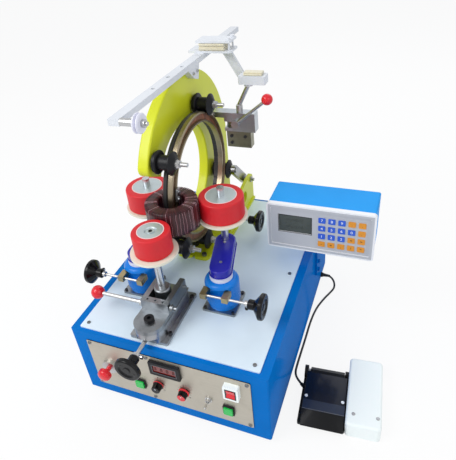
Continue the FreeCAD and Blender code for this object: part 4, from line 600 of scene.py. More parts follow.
class Builder:
    """A sub-assembly whose methods make and dress its pieces."""

    def build(self) -> None:
        """Makes and dresses everything in the sub-assembly."""
        raise NotImplementedError

    @staticmethod
    def slab(middle: Point, lengths: Point) -> Piece:
        """A block in metres, ready to be shaped.

        Args:
            middle: its middle.
            lengths: its sides.

        Returns:
            The new object, with its place in its mesh.
        """
        fresh()
        bpy.ops.mesh.primitive_cube_add(size=1.0, location=middle)
        piece = bpy.context.object
        piece.scale = lengths
        return seat(piece)

    @staticmethod
    def disc(middle: Point, radius: float, depth: float, axis: Axis = Axis.Z, sides: int = 48) -> Piece:
        """A round bar in metres, ready to be shaped.

        Args:
            middle: its middle.
            radius: its radius.
            depth: its length.
            axis: the direction that it runs in.
            sides: how many faces go round it.

        Returns:
            The new object, with its place in its mesh.
        """
        fresh()
        turn = {Axis.X: (0, math.pi / 2, 0), Axis.Y: (math.pi / 2, 0, 0), Axis.Z: (0, 0, 0)}[axis]
        bpy.ops.mesh.primitive_cylinder_add(
            vertices=sides, radius=radius, depth=depth, location=middle, rotation=turn
        )
        return seat(bpy.context.object)

    @staticmethod
    def line(points: Sequence[Point], width: float) -> Piece:
        """A round wire along control points, as a smooth curve.

        Args:
            points: the control points, in metres.
            width: the wire's diameter.

        Returns:
            The curve object.
        """
        curve = bpy.data.curves.new("line", "CURVE")
        curve.dimensions = "3D"
        curve.bevel_depth = width / 2
        curve.bevel_resolution = 3
        curve.resolution_u = 12
        curve.use_fill_caps = True
        spline = curve.splines.new("NURBS")
        spline.points.add(len(points) - 1)
        for spot, point in zip(spline.points, points):
            spot.co = (*point, 1.0)
        spline.order_u = 3
        spline.use_endpoint_u = True
        return linked("line", curve)

    @staticmethod
    def sleeve(points: Sequence[Pair], start: Point, way: Point, sides: int = 32) -> Piece:
        """A turned piece: a profile spun about a line.

        Args:
            points: the profile as distance along the line and radius, in metres.
            start: the line's start.
            way: the line's direction.
            sides: how many faces go round it.

        Returns:
            The closed shell, in place.
        """
        mesh = bpy.data.meshes.new("profile")
        edges = [(n, n + 1) for n in range(len(points) - 1)]
        mesh.from_pydata([(reach, 0, along) for along, reach in points], edges, [])
        piece = linked("profile", mesh)
        with editing(piece):
            bpy.ops.mesh.spin(steps=sides, angle=math.tau, center=(0, 0, 0), axis=(0, 0, 1))
            bpy.ops.mesh.select_all(action="SELECT")
            bpy.ops.mesh.remove_doubles(threshold=0.000001)
            bpy.ops.mesh.normals_make_consistent(inside=False)
        piece.rotation_euler = Vector(way).to_track_quat("Z", "Y").to_euler()
        piece.location = start
        return seat(piece)

    @staticmethod
    def figures(signs: Sequence[tuple[str, Point]], height: float, depth: float = 0.0001) -> Piece:
        """Raises figures and signs that face the operator.

        Args:
            signs: what each one reads and its middle.
            height: their type size, in metres.
            depth: half their thickness.

        Returns:
            All of them as one mesh.
        """
        made = []
        for text, middle in signs:
            fresh()
            bpy.ops.object.text_add()
            piece = bpy.context.object
            piece.data.body = text
            piece.data.size = height
            piece.data.align_x = "CENTER"
            piece.data.align_y = "CENTER"
            piece.data.extrude = depth
            piece.data.resolution_u = 3
            piece.location = middle
            piece.rotation_euler = (math.pi / 2, 0, 0)
            made.append(seat(piece))
        return Builder.gather(made)

    @staticmethod
    def frame(name: str, finish: Finish, inside: Quad, width: float, front: float) -> None:
        """Lays a thin flat frame round an opening that faces the operator.

        Args:
            name: the frame's name.
            finish: its finish.
            inside: the opening's left, right, bottom and top, in metres.
            width: how wide its sides are.
            front: the surface that it lies on.
        """
        left, right, low, high = inside
        thick = 0.0004
        y = front - thick / 2
        across, middle = right - left + 2 * width, (left + right) / 2
        tall, level = high - low, (low + high) / 2
        rails = [((middle, y, z), (across, thick, width)) for z in (high + width / 2, low - width / 2)]
        posts = [((x, y, level), (width, thick, tall)) for x in (left - width / 2, right + width / 2)]
        keep(Builder.gather([Builder.slab(*side) for side in rails + posts]), name, finish)

    @staticmethod
    def gather(pieces: Sequence[Piece]) -> Piece:
        """Joins pieces into one mesh.

        Args:
            pieces: the pieces, of which the first goes on as the whole.

        Returns:
            The whole.
        """
        fresh()
        for piece in pieces:
            piece.select_set(True)
        bpy.context.view_layer.objects.active = pieces[0]
        bpy.ops.object.join()
        return bpy.context.object

    @staticmethod
    def copies(piece: Piece, moves: Sequence[Matrix]) -> Piece:
        """Repeats a piece, each copy with its own mesh, and joins all of them.

        Args:
            piece: the first one.
            moves: how each further one is moved from it.

        Returns:
            All of them as one mesh.
        """
        made = [piece]
        for move in moves:
            mesh = piece.data.copy()
            mesh.transform(move)
            made.append(linked(piece.name, mesh))
        return Builder.gather(made)


# ------------------------------------------------------------------ cabinet
@dataclass
class Cabinet(Builder):
    """The sheet-metal cabinet with its deck, feet and fastenings."""

    wall: float = 250.0

    def build(self) -> None:
        """Dresses the cabinet."""
        dress("cabinet_shell", BLUE_ENAMEL)
        dress("top_plate", DECK_COAT)
        dress("rubber_feet", BLACK_RUBBER)
        dress("screws_and_glands", SCREW_STEEL, (BLACK_NYLON, lambda p, n: p.x > self.wall))


@dataclass
class ControlPanel(Builder):
    """The row of meter, buttons, dials and switches on the front."""

    face: float = -0.330
    edge_on: float = 0.5
    meter_window: Quad = (-0.028, 0.032, 0.1648, 0.1889)
    meter_sides: Pair = (0.0016, 0.008)  # width, and how proud of the face
    rocker_opening: Quad = (0.1567, 0.1773, 0.1577, 0.1823)
    rocker_sides: Pair = (0.0026, 0.014)  # the same for the rocker
    window_depth: float = 7.5
    stop_right: float = -130.0
    toggle: Pair = (85.0, 125.0)
    inlet: Pair = (140.0, 130.0)  # least X and Z
    dials: tuple[tuple[str, float, float, float, bool], ...] = (  # X, Z, flange's Y, red cap
        ("left", -0.026, 0.111, -335.5, False), ("right", 0.042, 0.111, -337.0, True),
    )
    dial_radius: float = 0.0175
    tick: Point = (0.0005, 0.0003, 0.0022)
    tick_step: float = math.radians(30)
    ticks: int = 11
    print_lift: float = 0.0001
    number_gap: float = 0.0048
    number_size: Pair = (0.006, 0.00015)  # height and half thickness
    numbers: tuple[tuple[str, float], ...] = (("0", -150.0), ("5", 0.0), ("10", 150.0))
    pointer_size: Point = (0.0012, 0.0004, 0.006)
    pointer_rise: float = 0.0035
    digits: tuple[float, ...] = (-0.02125, -0.00575, 0.00975, 0.02525)
    digit_size: Pair = (0.015, 0.0002)  # height and half thickness
    digit_spot: Pair = (-0.0063, 0.176)  # depth from the face, and Z

    def build(self) -> None:
        """Dresses the panel and adds its scales, figures and pointers."""
        dress("front_panel", PANEL_ALLOY, (BLACK_MATTE, lambda p, n: abs(n.y) < self.edge_on))
        dress("panel_meter", BLACK_MATTE, (METER_GLASS, self.in_window))
        for name, finish, inside, (width, proud) in (
            ("meter_frame", FRAME_GREY, self.meter_window, self.meter_sides),
            ("rocker_frame", BLACK_MATTE, self.rocker_opening, self.rocker_sides),
        ):
            self.frame(name, finish, inside, width, self.face - proud)
        dress(
            "control_housings", BLACK_MATTE,
            (BRIGHT_STEEL, lambda p, n: p.x < self.stop_right or self.toggle[0] < p.x < self.toggle[1]),
            (WHITE_PLASTIC, lambda p, n: p.x > self.inlet[0] and p.z > self.inlet[1]),
        )
        for name in ("left_button_cap", "right_button_cap"):
            dress(name, GREEN_LENS)
        for name in ("stop_button", "power_rocker"):
            dress(name, RED_GLOSS)
        dress("toggle_lever", BRIGHT_STEEL)
        for side, x, z, flange, red_cap in self.dials:
            dress(
                f"{side}_dial", BLACK_GLOSS,
                (RED_GLOSS, lambda p, n, y=flange, cap=red_cap: p.y > y or (cap and n.y < -FACING)),
            )
            self.scale(side, x, z)
            self.pointer(side, x, z)
        digits = [("8", (x, self.face + self.digit_spot[0], self.digit_spot[1])) for x in self.digits]
        keep(self.figures(digits, *self.digit_size), "meter_segments", METER_DIGITS)

    def in_window(self, p: Vector, n: Vector) -> bool:
        """Whether a face of the meter lies in its sunken window."""
        return n.y < -FACING and p.y > self.face / MM - self.window_depth

    def scale(self, side: str, x: float, z: float) -> None:
        """Prints a ring of strokes and the numbers 0, 5 and 10 round a dial.

        Args:
            side: which dial.
            x: its middle, across.
            z: its middle, up.
        """
        y = self.face - self.print_lift
        stroke = self.slab((x, y, z - self.dial_radius), self.tick)
        about = Matrix.Translation((x, 0, z))
        turns = [
            about @ Matrix.Rotation(self.tick_step * (n + 1), 4, "Y") @ about.inverted()
            for n in range(self.ticks)
        ]
        strokes = self.copies(stroke, turns)
        reach = self.dial_radius + self.number_gap
        signs = []
        for text, degrees in self.numbers:
            angle = math.radians(degrees)
            signs.append((text, (x + reach * math.sin(angle), y, z + reach * math.cos(angle))))
        printed = self.figures(signs, *self.number_size)
        keep(self.gather([strokes, printed]), f"{side}_dial_scale", INK_BLACK)

    def pointer(self, side: str, x: float, z: float) -> None:
        """Inlays the white pointer in a dial's cap.

        Args:
            side: which dial.
            x: its middle, across.
            z: its middle, up.
        """
        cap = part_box(f"{side}_dial")[0][1]
        line = self.slab((x, cap + self.print_lift, z + self.pointer_rise), self.pointer_size)
        polish(line, bevel=0.0001, segments=1)
        keep(line, f"{side}_dial_pointer", INK_WHITE, f"{side}_pot")


# ------------------------------------------------------------------ winding head
@dataclass
class WindingHead(Builder):
    """The C-shaped casting, its guide wheels and the shuttle ring."""

    centre: Pair = (59.0, 462.0)
    groove: Pair = (148.0, 170.0)  # its two radii
    groove_left: float = -33.6
    guides: tuple[tuple[str, float, float], ...] = (  # Y, Z
        ("top", 151.3, 628.4), ("left", -87.8, 583.0), ("lower_left", -85.5, 338.2),
        ("bottom", 42.4, 272.4), ("right", 235.4, 390.7),
    )
    hub_radius: float = 9.0

    def build(self) -> None:
        """Dresses the head."""
        dress("head_frame", YELLOW_ENAMEL)
        dress("head_base", YELLOW_ENAMEL)
        dress("winding_ring", RING_BRONZE, (COPPER_TURNS, self.in_groove))
        dress("drive_ring", DRIVE_BLACK)
        dress("wire_slider", STEEL)
        for name, y, z in self.guides:
            dress(
                f"guide_roller_{name}", BLACK_NYLON,
                (DARK_STEEL, lambda p, n, y=y, z=z: math.hypot(p.y - y, p.z - z) < self.hub_radius),
            )
        dress("guide_axles", BRIGHT_STEEL)
        dress("idler_arm", STEEL)

    def in_groove(self, p: Vector, n: Vector) -> bool:
        """Whether a face of the ring lies at the bottom of its wire groove."""
        reach = math.hypot(p.y - self.centre[0], p.z - self.centre[1])
        return n.x > FACING and p.x < self.groove_left and self.groove[0] < reach < self.groove[1]


@dataclass
class CoreAndRollers(Builder):
    """The wound core on its three driven rollers."""

    middle: Pair = (-0.040, -0.106)
    outer: float = 0.063
    inner: float = 0.033
    low: float = 0.4305
    high: float = 0.4945
    turns: int = 186
    wire: float = 0.00095
    sides: int = 5
    sunk: float = 0.36
    corner: float = 0.0022
    corner_steps: int = 3
    wander: float = 0.22
    lean: float = 0.012
    # each turn's finish is drawn at random from these: 0 middle, 1 dark, 2 pale; the pale turns are
    # painted highlights
    tones: tuple[int, ...] = (0, 0, 1, 1, 0, 1, 0, 1, 2)
    loose: tuple[float, ...] = (-66.0, -55.0, -47.0, -41.0, -34.0, -24.0, -14.0)
    loose_ends: Pair = (0.004, 0.002)  # gaps to the bottom and the top
    loose_width: float = 0.8
    loose_sunk: float = 0.2
    knots: int = 6
    sway: float = 1.6
    seed: int = 4
    loose_seed: int = 9
    rollers: tuple[tuple[str, float, float, float], ...] = (  # X, Y, disc's radius
        ("left", -140.0, -42.8, 37.5), ("right", 60.0, -42.8, 37.5), ("front", -40.0, -213.3, 29.8),
    )
    spindle: Pair = (421.8, 484.3)  # the disc lies between these heights
    spindle_level: float = 0.4
    disc_level: float = 0.475
    lip: Trio = (421.5, 430.5, 14.5)  # lowest, highest, least radius
    disc_top: float = 0.484
    rim: Pair = (0.0009, 0.0008)  # half its width, and its height
    socket: Trio = (0.4832, 0.0048, 0.0006)  # Z, radius, depth

    def build(self) -> None:
        """Dresses the rollers and winds the core."""
        dress("wound_core", CORE_DARK)
        for side, x, y, radius in self.rollers:
            axis = (x * MM, y * MM)
            steel, alloy = (*axis, self.spindle_level), (*axis, self.disc_level)
            spindle = Turned(f"{side}_spindle_steel", (0.66, 0.67, 0.69), steel, Axis.Z, 0.22)
            disc = Turned(f"{side}_disc_alloy", (0.60, 0.67, 0.70), alloy, Axis.Z, 0.44)
            dress(
                f"{side}_roller_hub", disc,
                (CREAM_NYLON, lambda p, n, x=x, y=y: self.on_lip(p, x, y)),
                (spindle, lambda p, n: not self.spindle[0] <= p.z <= self.spindle[1]),
            )
            dress(f"{side}_roller_tyre", RED_TYRE)
            half, tall = self.rim
            low, high = radius * MM - half, radius * MM + half
            profile = [(0.0, low), (tall, low), (tall, high), (0.0, high)]
            rim = self.sleeve(profile, (*axis, self.disc_top - tall / 2), (0, 0, 1), sides=64)
            keep(rim, f"{side}_disc_rim", PALE_RIM, f"{side}_roller")
        _, x, y, _ = self.rollers[-1]
        level, radius, depth = self.socket
        hexagon = self.disc((x * MM, y * MM, level), radius, depth, sides=6)
        keep(hexagon, "front_screw_socket", BLACK_MATTE, "front_roller")
        keep(self.winding(), "core_turns", CORE_WIRE, "core")
        keep(self.strands(), "core_strands", CORE_PALE, "core")

    def on_lip(self, p: Vector, x: float, y: float) -> bool:
        """Whether a face belongs to the nylon lip under the tyre of the roller at x and y."""
        low, high, radius = self.lip
        return low < p.z < high and math.hypot(p.x - x, p.y - y) > radius

    def strands(self) -> Piece:
        """Draws the pale strands that cross the core's turns at the front right.

        Returns:
            The strands as one mesh.
        """
        dice = random.Random(self.loose_seed)
        reach = self.outer - self.wire * self.loose_sunk
        bottom, top = self.low + self.loose_ends[0], self.high - self.loose_ends[1]
        made = []
        for degrees in self.loose:
            points = []
            for n in range(self.knots):
                angle = math.radians(degrees + dice.uniform(-self.sway, self.sway))
                x, y = self.middle[0] + reach * math.cos(angle), self.middle[1] + reach * math.sin(angle)
                points.append((x, y, top + (bottom - top) * n / (self.knots - 1)))
            made.append(seat(self.line(points, self.wire * self.loose_width)))
        return self.gather(made)

    def path(self) -> list[Pair]:
        """The path of one turn round the core's section.

        Returns:
            Its corners as distance from the core's axis and height.
        """
        inset = self.wire * self.sunk + self.corner
        inner, outer = self.inner + inset, self.outer - inset
        low, high = self.low + inset, self.high - inset
        spots = []
        for x, z, start in ((outer, high, 90), (outer, low, 0), (inner, low, -90), (inner, high, -180)):
            for step in range(self.corner_steps):
                angle = math.radians(start - 90 * step / (self.corner_steps - 1))
                spots.append((x + self.corner * math.cos(angle), z + self.corner * math.sin(angle)))
        return spots

    def turn(self) -> Piece:
        """Shapes one turn of the wire as a closed tube.

        Returns:
            The turn, in place.
        """
        path = self.path()
        sideways = Vector((0, 1, 0))
        points, faces = [], []
        for n, (reach, z) in enumerate(path):
            before, after = path[n - 1], path[(n + 1) % len(path)]
            out = sideways.cross(Vector((after[0] - before[0], 0, after[1] - before[1])).normalized())
            here, there = n * self.sides, (n + 1) % len(path) * self.sides
            for side in range(self.sides):
                angle = math.tau * side / self.sides
                offset = out * math.cos(angle) + sideways * math.sin(angle)
                points.append(Vector((reach, 0, z)) + offset * (self.wire / 2))
                beside = (side + 1) % self.sides
                faces.append((here + side, here + beside, there + beside, there + side))
        mesh = bpy.data.meshes.new("turn")
        mesh.from_pydata(points, [], faces)
        turn = linked("turn", mesh)
        with editing(turn):
            bpy.ops.mesh.normals_make_consistent(inside=False)
        turn.data.transform(Matrix.Translation((*self.middle, 0)))
        return turn

    def winding(self) -> Piece:
        """Winds the wire round the core: one turn is shaped, then repeated round the axis.

        Returns:
            All the turns as one mesh.
        """
        turn = self.turn()
        per_turn = len(turn.data.polygons)
        dice = random.Random(self.seed)
        about = Matrix.Translation((*self.middle, (self.low + self.high) / 2))
        moves = []
        for n in range(1, self.turns):
            round_axis = math.tau * (n + dice.uniform(-self.wander, self.wander)) / self.turns
            lean = Matrix.Rotation(dice.uniform(-self.lean, self.lean), 4, "X")
            moves.append(about @ Matrix.Rotation(round_axis, 4, "Z") @ lean @ about.inverted())
        wound = self.copies(turn, moves)
        polish(wound, smooth=60)
        paint(wound, CORE_WIRE, CORE_DARK, CORE_PALE)
        # the pale turns among these are painted highlights, spread at random
        tones = [dice.choice(self.tones) for _ in range(self.turns)]
        for face in wound.data.polygons:
            face.material_index = tones[face.index // per_turn]
        return wound


# ------------------------------------------------------------------ turrets
@dataclass
class Turrets(Builder):
    """The two swinging roller posts with their belt covers and adjusting screws."""

    front: float = -173.2
    screw: Pair = (292.0, 308.0)
    collar: float = 321.3
    cover: Pair = (334.2, 353.2)  # top of its lip, and foot of its screws
    upright: float = 0.6
    knobs: tuple[tuple[str, float], ...] = (("left", -253.0), ("right", 197.0))
    hub: Trio = (30.2, 38.2, 12.0)  # near end, far end, radius
    adjuster_level: float = 300.0
    base_screws: float = 241.2
    rear_hub: float = 57.8

    def build(self) -> None:
        """Dresses both turrets."""
        for side, knob in self.knobs:
            dress(
                f"{side}_turret_body", BRIGHT_BLUE,
                (BRASS, lambda p, n: p.y < self.front and self.screw[0] < p.z < self.screw[1]),
                (WHITE_NYLON, lambda p, n: p.z > self.collar),
            )
            dress(
                f"{side}_belt_cover", NAVY_ENAMEL,
                (LILAC_LIP, lambda p, n: p.z < self.cover[0] and abs(n.z) < self.upright),
                (BRIGHT_STEEL, lambda p, n: p.z > self.cover[1]),
            )
            dress(
                f"{side}_adjuster", BLACK_GLOSS,
                (BRIGHT_STEEL, lambda p, n, x=knob: abs(p.x - x) > self.hub[1]),
                (BRIGHT_STEEL, lambda p, n, x=knob: self.on_hub(p, x)),
            )
        dress("turret_bases", CROSS_STEEL, (DARK_STEEL, lambda p, n: p.z > self.base_screws))
        dress("rear_knob", BLACK_GLOSS, (BRIGHT_STEEL, lambda p, n: p.x < self.rear_hub))

    def on_hub(self, p: Vector, knob: float) -> bool:
        """Whether a face belongs to the steel hub of the knob at that place."""
        near, far, radius = self.hub
        return near < abs(p.x - knob) < far and abs(p.z - self.adjuster_level) < radius


@dataclass
class FrontSlide(Builder):
    """The dovetail slide, its swinging arm and the feed screw."""

    middle: float = -40.0
    base_screws: Pair = (30.0, 243.3)  # least distance from the middle, and least Z
    ball_right: float = -189.4
    pivot: Quad = (-40.0, -290.0, 284.5, 12.5)  # X, Y, lowest Z and radius
    feed_hub: float = -369.8

    def build(self) -> None:
        """Dresses the slide."""
        dress("slide_base", STEEL, (DARK_STEEL, self.on_screw))
        dress("slide_carriage", STEEL)
        dress("swing_arm", CROSS_STEEL, (BLACK_NYLON, self.on_pivot))
        dress("arm_lever", BRIGHT_STEEL, (RED_GLOSS, lambda p, n: p.x < self.ball_right))
        dress("feed_knob", BLACK_GLOSS, (BRIGHT_STEEL, lambda p, n: p.y > self.feed_hub))

    def on_screw(self, p: Vector, n: Vector) -> bool:
        """Whether a face belongs to one of the base's screw heads."""
        return p.z > self.base_screws[1] and abs(p.x - self.middle) > self.base_screws[0]

    def on_pivot(self, p: Vector, n: Vector) -> bool:
        """Whether a face belongs to the head of the arm's pivot screw."""
        x, y, low, radius = self.pivot
        return p.z > low and math.hypot(p.x - x, p.y - y) < radius


@dataclass
class Gate(Builder):
    """The clamp beside the ring with its sliding jaw and its lever."""

    ball: Point = (107.0, 205.0, 627.0)
    ball_radius: float = 16.0
    jaw_screws: Pair = (213.9, 520.0)  # greatest Y and Z

    def build(self) -> None:
        """Dresses the gate."""
        dress("gate_block", COOL_STEEL)
        y, z = self.jaw_screws
        dress("gate_jaw", JAW_STEEL, (DARK_STEEL, lambda p, n: p.y < y and p.z < z))
        dress("gate_lever", BRIGHT_STEEL, (RED_GLOSS, self.on_ball))

    def on_ball(self, p: Vector, n: Vector) -> bool:
        """Whether a face belongs to the lever's ball."""
        return (p - Vector(self.ball)).length < self.ball_radius


@dataclass
class WireGuide(Builder):
    """The guide bar, its pulley and the two felt wire wipers."""

    bar_screws: Pair = (-59.8, 700.0)  # least X and Z
    rod: Pair = (581.0, 654.8)
    pads: tuple[tuple[str, Point, Point, int], ...] = (  # corners, layers
        ("wire_felt", (-0.074, 0.217, 0.746), (-0.004, 0.263, 0.766), 4),
        ("side_felt", (0.042, 0.216, 0.684), (0.092, 0.240, 0.692), 3),
    )
    uneven: float = 0.0022
    layer_edge: float = 0.42  # this and the next two as shares of a layer's thickness
    fold_radius: float = 0.98
    fold_edge: float = 0.3

    def build(self) -> None:
        """Dresses the guide and lays the felts."""
        x, z = self.bar_screws
        dress("guide_bar", BAR_ALLOY, (BRIGHT_STEEL, lambda p, n: p.x > x and p.z > z))
        dress("guide_wheel", WHITE_NYLON)
        low, high = self.rod
        dress("tension_frame", BAR_ALLOY, (BRIGHT_STEEL, lambda p, n: low < p.z < high))
        for pad in [self.felt(*pad) for pad in self.pads]:
            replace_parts(pad, "felt_pads")

    def felt(self, name: str, low: Point, high: Point, layers: int) -> Piece:
        """Lays one pad of folded felt with soft, slightly uneven edges.

        Args:
            name: the pad's name.
            low: its lowest corner.
            high: its highest corner.
            layers: how many layers its sheet is folded into.

        Returns:
            The pad.
        """
        dice = random.Random(layers)
        sheet = (high[2] - low[2]) / layers
        sheets = []
        for n in range(layers):
            spread = [dice.uniform(0.0, self.uneven) for _ in range(4)]
            x0, x1 = low[0] + spread[0], high[0] - spread[1]
            y0, y1 = low[1] + spread[2], high[1] - spread[3]
            middle = ((x0 + x1) / 2, (y0 + y1) / 2, low[2] + sheet * (n + 0.5))
            layer = self.slab(middle, (x1 - x0, y1 - y0, sheet))
            with editing(layer):
                bpy.ops.mesh.subdivide(number_cuts=3)
            polish(layer, bevel=sheet * self.layer_edge, segments=4, smooth=80)
            sheets.append(layer)
            if n % 2:
                spot = (middle[0], low[1] + sheet * 0.5, low[2] + sheet * n)
                fold = self.disc(spot, sheet * self.fold_radius, x1 - x0, Axis.X, sides=32)
                polish(fold, bevel=sheet * self.fold_edge, segments=3, smooth=60)
                sheets.append(fold)
        pad = keep(self.gather(sheets), name, FELT)
        return pad


# ------------------------------------------------------------------ controller
class Key(Enum):
    """What a key of the controller is for."""

    FIGURE = "B"
    COMMAND = "O"


@dataclass
class Controller(Builder):
    """The counter on its bracket, with its display and its membrane of keys."""

    front: float = 0.020
    bezel: Pair = (19.0, 32.2)
    sheet: Pair = (22.0, 24.5)
    under: float = 304.5
    plug: Pair = (320.0, 90.0)  # least X and Y
    window: Quad = (181.0, 263.0, 354.0, 404.0)
    window_sides: Pair = (0.0012, 0.003)  # width, and how far behind the front
    recess: Quad = (0.162, 0.402, 0.314, 0.425)
    recess_sides: float = 0.0065
    key_face: float = 22.1
    key_left: float = 280.0
    key_top: float = 410.0
    key_width: float = 17.0
    key_height: float = 15.0
    pitch: float = 23.5
    margin: float = 3.0
    faces: tuple[str, ...] = ("789..", "4560.", "123<>", "-+./*")
    kinds: tuple[str, ...] = ("BBBOO", "BBBBO", "BBBOO", "OOOOO")
    sign_height: float = 0.0105
    sign_lift: float = 0.00005
    zeros: str = "0 0 0 0 0"
    zero_height: float = 0.011
    zero_sunk: float = 0.0048
    zero_rows: Pair = (35.0, 15.0)

    def build(self) -> None:
        """Dresses the counter and prints its display and keys."""
        x, y = self.plug
        dress(
            "controller_case", CASE_BLUE,
            (CASE_WHITE, lambda p, n: self.bezel[0] < p.y < self.bezel[1]),
            (FACE_GREY, lambda p, n: n.y < -FACING and self.sheet[0] < p.y < self.sheet[1]),
            (LCD_GLASS, self.in_display),
            (BLACK_NYLON, lambda p, n: p.z < self.under and p.x > x and p.y > y),
            (BRIGHT_STEEL, lambda p, n: p.z < self.under and p.x < x),
        )
        dress(
            "controller_keypad", FACE_GREY,
            (KEY_BLUE, lambda p, n: self.key_at(p) is Key.FIGURE),
            (KEY_ORANGE, lambda p, n: self.key_at(p) is Key.COMMAND),
        )
        dress("controller_bracket", BLUE_ENAMEL)
        self.frame("controller_border", FACE_GREY, self.recess, self.recess_sides, self.front)
        window = tuple(value * MM for value in self.window)
        width, sunk = self.window_sides
        self.frame("display_frame", BLACK_MATTE, window, width, self.front + sunk)
        self.legends()
        self.display(window)

    def in_display(self, p: Vector, n: Vector) -> bool:
        """Whether a face is the display's glass."""
        x0, x1, z0, z1 = self.window
        return n.y < -FACING and p.y > self.sheet[1] and x0 < p.x < x1 and z0 < p.z < z1

    def key_at(self, p: Vector) -> Key | None:
        """Which kind of key a face belongs to.

        Args:
            p: the face's middle, in mm.

        Returns:
            The kind, or None between the keys.
        """
        column = int((p.x - self.key_left + self.margin) // self.pitch)
        row = int((self.key_top - p.z + self.margin) // self.pitch)
        if p.y > self.key_face or not (0 <= row < len(self.kinds) and 0 <= column < len(self.kinds[row])):
            return None
        return Key(self.kinds[row][column])

    def legends(self) -> None:
        """Prints a figure or sign on each key."""
        marks = {kind: [] for kind in Key}
        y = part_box("controller_keypad")[0][1] - self.sign_lift
        for row, signs in enumerate(self.faces):
            for column, sign in enumerate(signs):
                x = self.key_left + self.pitch * column + self.key_width / 2
                z = self.key_top - self.pitch * row - self.key_height / 2
                marks[Key(self.kinds[row][column])].append((sign, (x * MM, y, z * MM)))
        for kind, name, ink in (
            (Key.FIGURE, "key_figures", INK_WHITE), (Key.COMMAND, "key_signs", INK_BLACK),
        ):
            keep(self.figures(marks[kind], self.sign_height), name, ink)

    def display(self, window: Quad) -> None:
        """Shows rows of zeros on the display.

        Args:
            window: its left, right, bottom and top, in metres.
        """
        x, y = (window[0] + window[1]) / 2, self.front + self.zero_sunk
        zeros = [(self.zeros, (x, y, window[2] + rise * MM)) for rise in self.zero_rows]
        keep(self.figures(zeros, self.zero_height), "display_figures", LCD_INK)


@dataclass
class FootSwitch(Builder):
    """The treadle and the white switch box on the bench."""

    middle: Pair = (345.0, -184.0)
    turn: float = math.radians(4.5)
    box_left: float = 51.9
    base_top: float = 8.1
    box_step: float = 0.2
    half: float = 49.0
    barrel_half: float = 42.0
    hinge: Pair = (0.069, 0.024)  # Y and Z on the treadle
    pin_radius: float = 0.0037
    pin_end: float = 0.009
    band: Pair = (-54.0, -27.0)
    # a thin grey strip along the crease behind the sloping front, then its width and thickness: a painted
    # highlight of that edge
    crease_highlight: Point = (0.0, -0.0522, 0.0388)
    crease_highlight_sides: Pair = (0.0011, 0.0006)
    screws: tuple[Point, ...] = ((-0.043, -0.018, 0.0396), (0.043, -0.018, 0.0396))
    screw_size: Pair = (0.0038, 0.0014)  # radius and length
    box_screws: tuple[Point, ...] = ((0.069, -0.0465, 0.0462), (0.123, -0.0465, 0.0462))
    box_screw_size: Pair = (0.0042, 0.0012)  # radius and length
    plate: tuple[Pair, ...] = (
        (-84.0, 15.0), (-83.5, 18.5), (-52.5, 38.4), (-27.0, 39.0), (52.0, 40.0), (52.0, 28.2),
        (-66.0, 24.4), (-75.5, 21.2), (-77.0, 15.0),
    )
    barrel: tuple[Pair, ...] = (
        (51.0, 39.6), (61.0, 39.4), (71.0, 33.0), (77.4, 27.4), (78.0, 22.0), (74.0, 16.6),
        (69.0, 15.2), (51.0, 28.4),
    )

    def build(self) -> None:
        """Dresses the foot switch."""
        dress("foot_switch_base", PEDAL_BLACK, (WHITE_PLASTIC, self.on_box))
        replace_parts(self.treadle(), "foot_treadle")
        spots = [self.place() @ Vector(spot) for spot in self.box_screws]
        heads = [self.disc(spot, *self.box_screw_size, sides=24) for spot in spots]
        keep(self.gather(heads), "box_screws", STEEL)

    def place(self) -> Matrix:
        """Where the foot switch stands and how it is turned on the bench."""
        stand = Matrix.Translation((self.middle[0] * MM, self.middle[1] * MM, 0))
        return stand @ Matrix.Rotation(self.turn, 4, "Z")

    def treadle(self) -> Piece:
        """Shapes the smooth treadle: a flat top with a band, a sloping front and its hinge.

        Returns:
            The treadle.
        """
        plate = paint(self.prism(self.plate, self.half), TREAD_NAVY, TREAD_BAND, PEDAL_BLACK)
        barrel = paint(self.prism(self.barrel, self.barrel_half), PEDAL_BLACK)
        pin_length = (self.barrel_half * MM + self.pin_end) * 2
        pin = paint(self.disc((0, *self.hinge), self.pin_radius, pin_length, Axis.X, sides=32), STEEL)
        heads = [self.disc(spot, *self.screw_size, sides=24) for spot in self.screws]
        screws = [paint(head, INK_WHITE) for head in heads]
        # the grey strip laid along the crease is a painted highlight of that edge
        crease_highlight = paint(self.slab(self.crease_highlight, (self.half * 2 * MM, *self.crease_highlight_sides)), FRAME_GREY)
        polish(plate, bevel=0.0008)
        front, back = self.band
        for face in plate.data.polygons:
            along, up = face.center.y / MM, face.normal.z
            if front < along < back and up > FACING:
                face.material_index = 1
            elif up < FACING or along < front:
                face.material_index = 2
        whole = self.gather([plate, barrel, pin, crease_highlight, *screws])
        whole.data.transform(self.place())
        return keep(whole, "smooth_treadle", TREAD_NAVY, "treadle")

    def prism(self, outline: Sequence[Pair], half: float) -> Piece:
        """A block with one outline all along its width.

        Args:
            outline: the outline's corners, in mm along and up.
            half: half its width, in mm.

        Returns:
            The block, about the middle of the treadle.
        """
        mesh = bpy.data.meshes.new("prism")
        corners = [(-half * MM, along * MM, up * MM) for along, up in outline]
        mesh.from_pydata(corners, [], [tuple(range(len(outline)))])
        piece = linked("prism", mesh)
        with editing(piece):
            bpy.ops.mesh.extrude_region_move(TRANSFORM_OT_translate={"value": (half * 2 * MM, 0, 0)})
            bpy.ops.mesh.select_all(action="SELECT")
            bpy.ops.mesh.normals_make_consistent(inside=False)
        return piece

    def on_box(self, p: Vector, n: Vector) -> bool:
        """Whether a face belongs to the switch box beside the treadle."""
        x, y = p.x - self.middle[0], p.y - self.middle[1]
        beyond = x * math.cos(self.turn) + y * math.sin(self.turn) - self.box_left
        return beyond > 0 and (p.z > self.base_top or beyond > self.box_step)


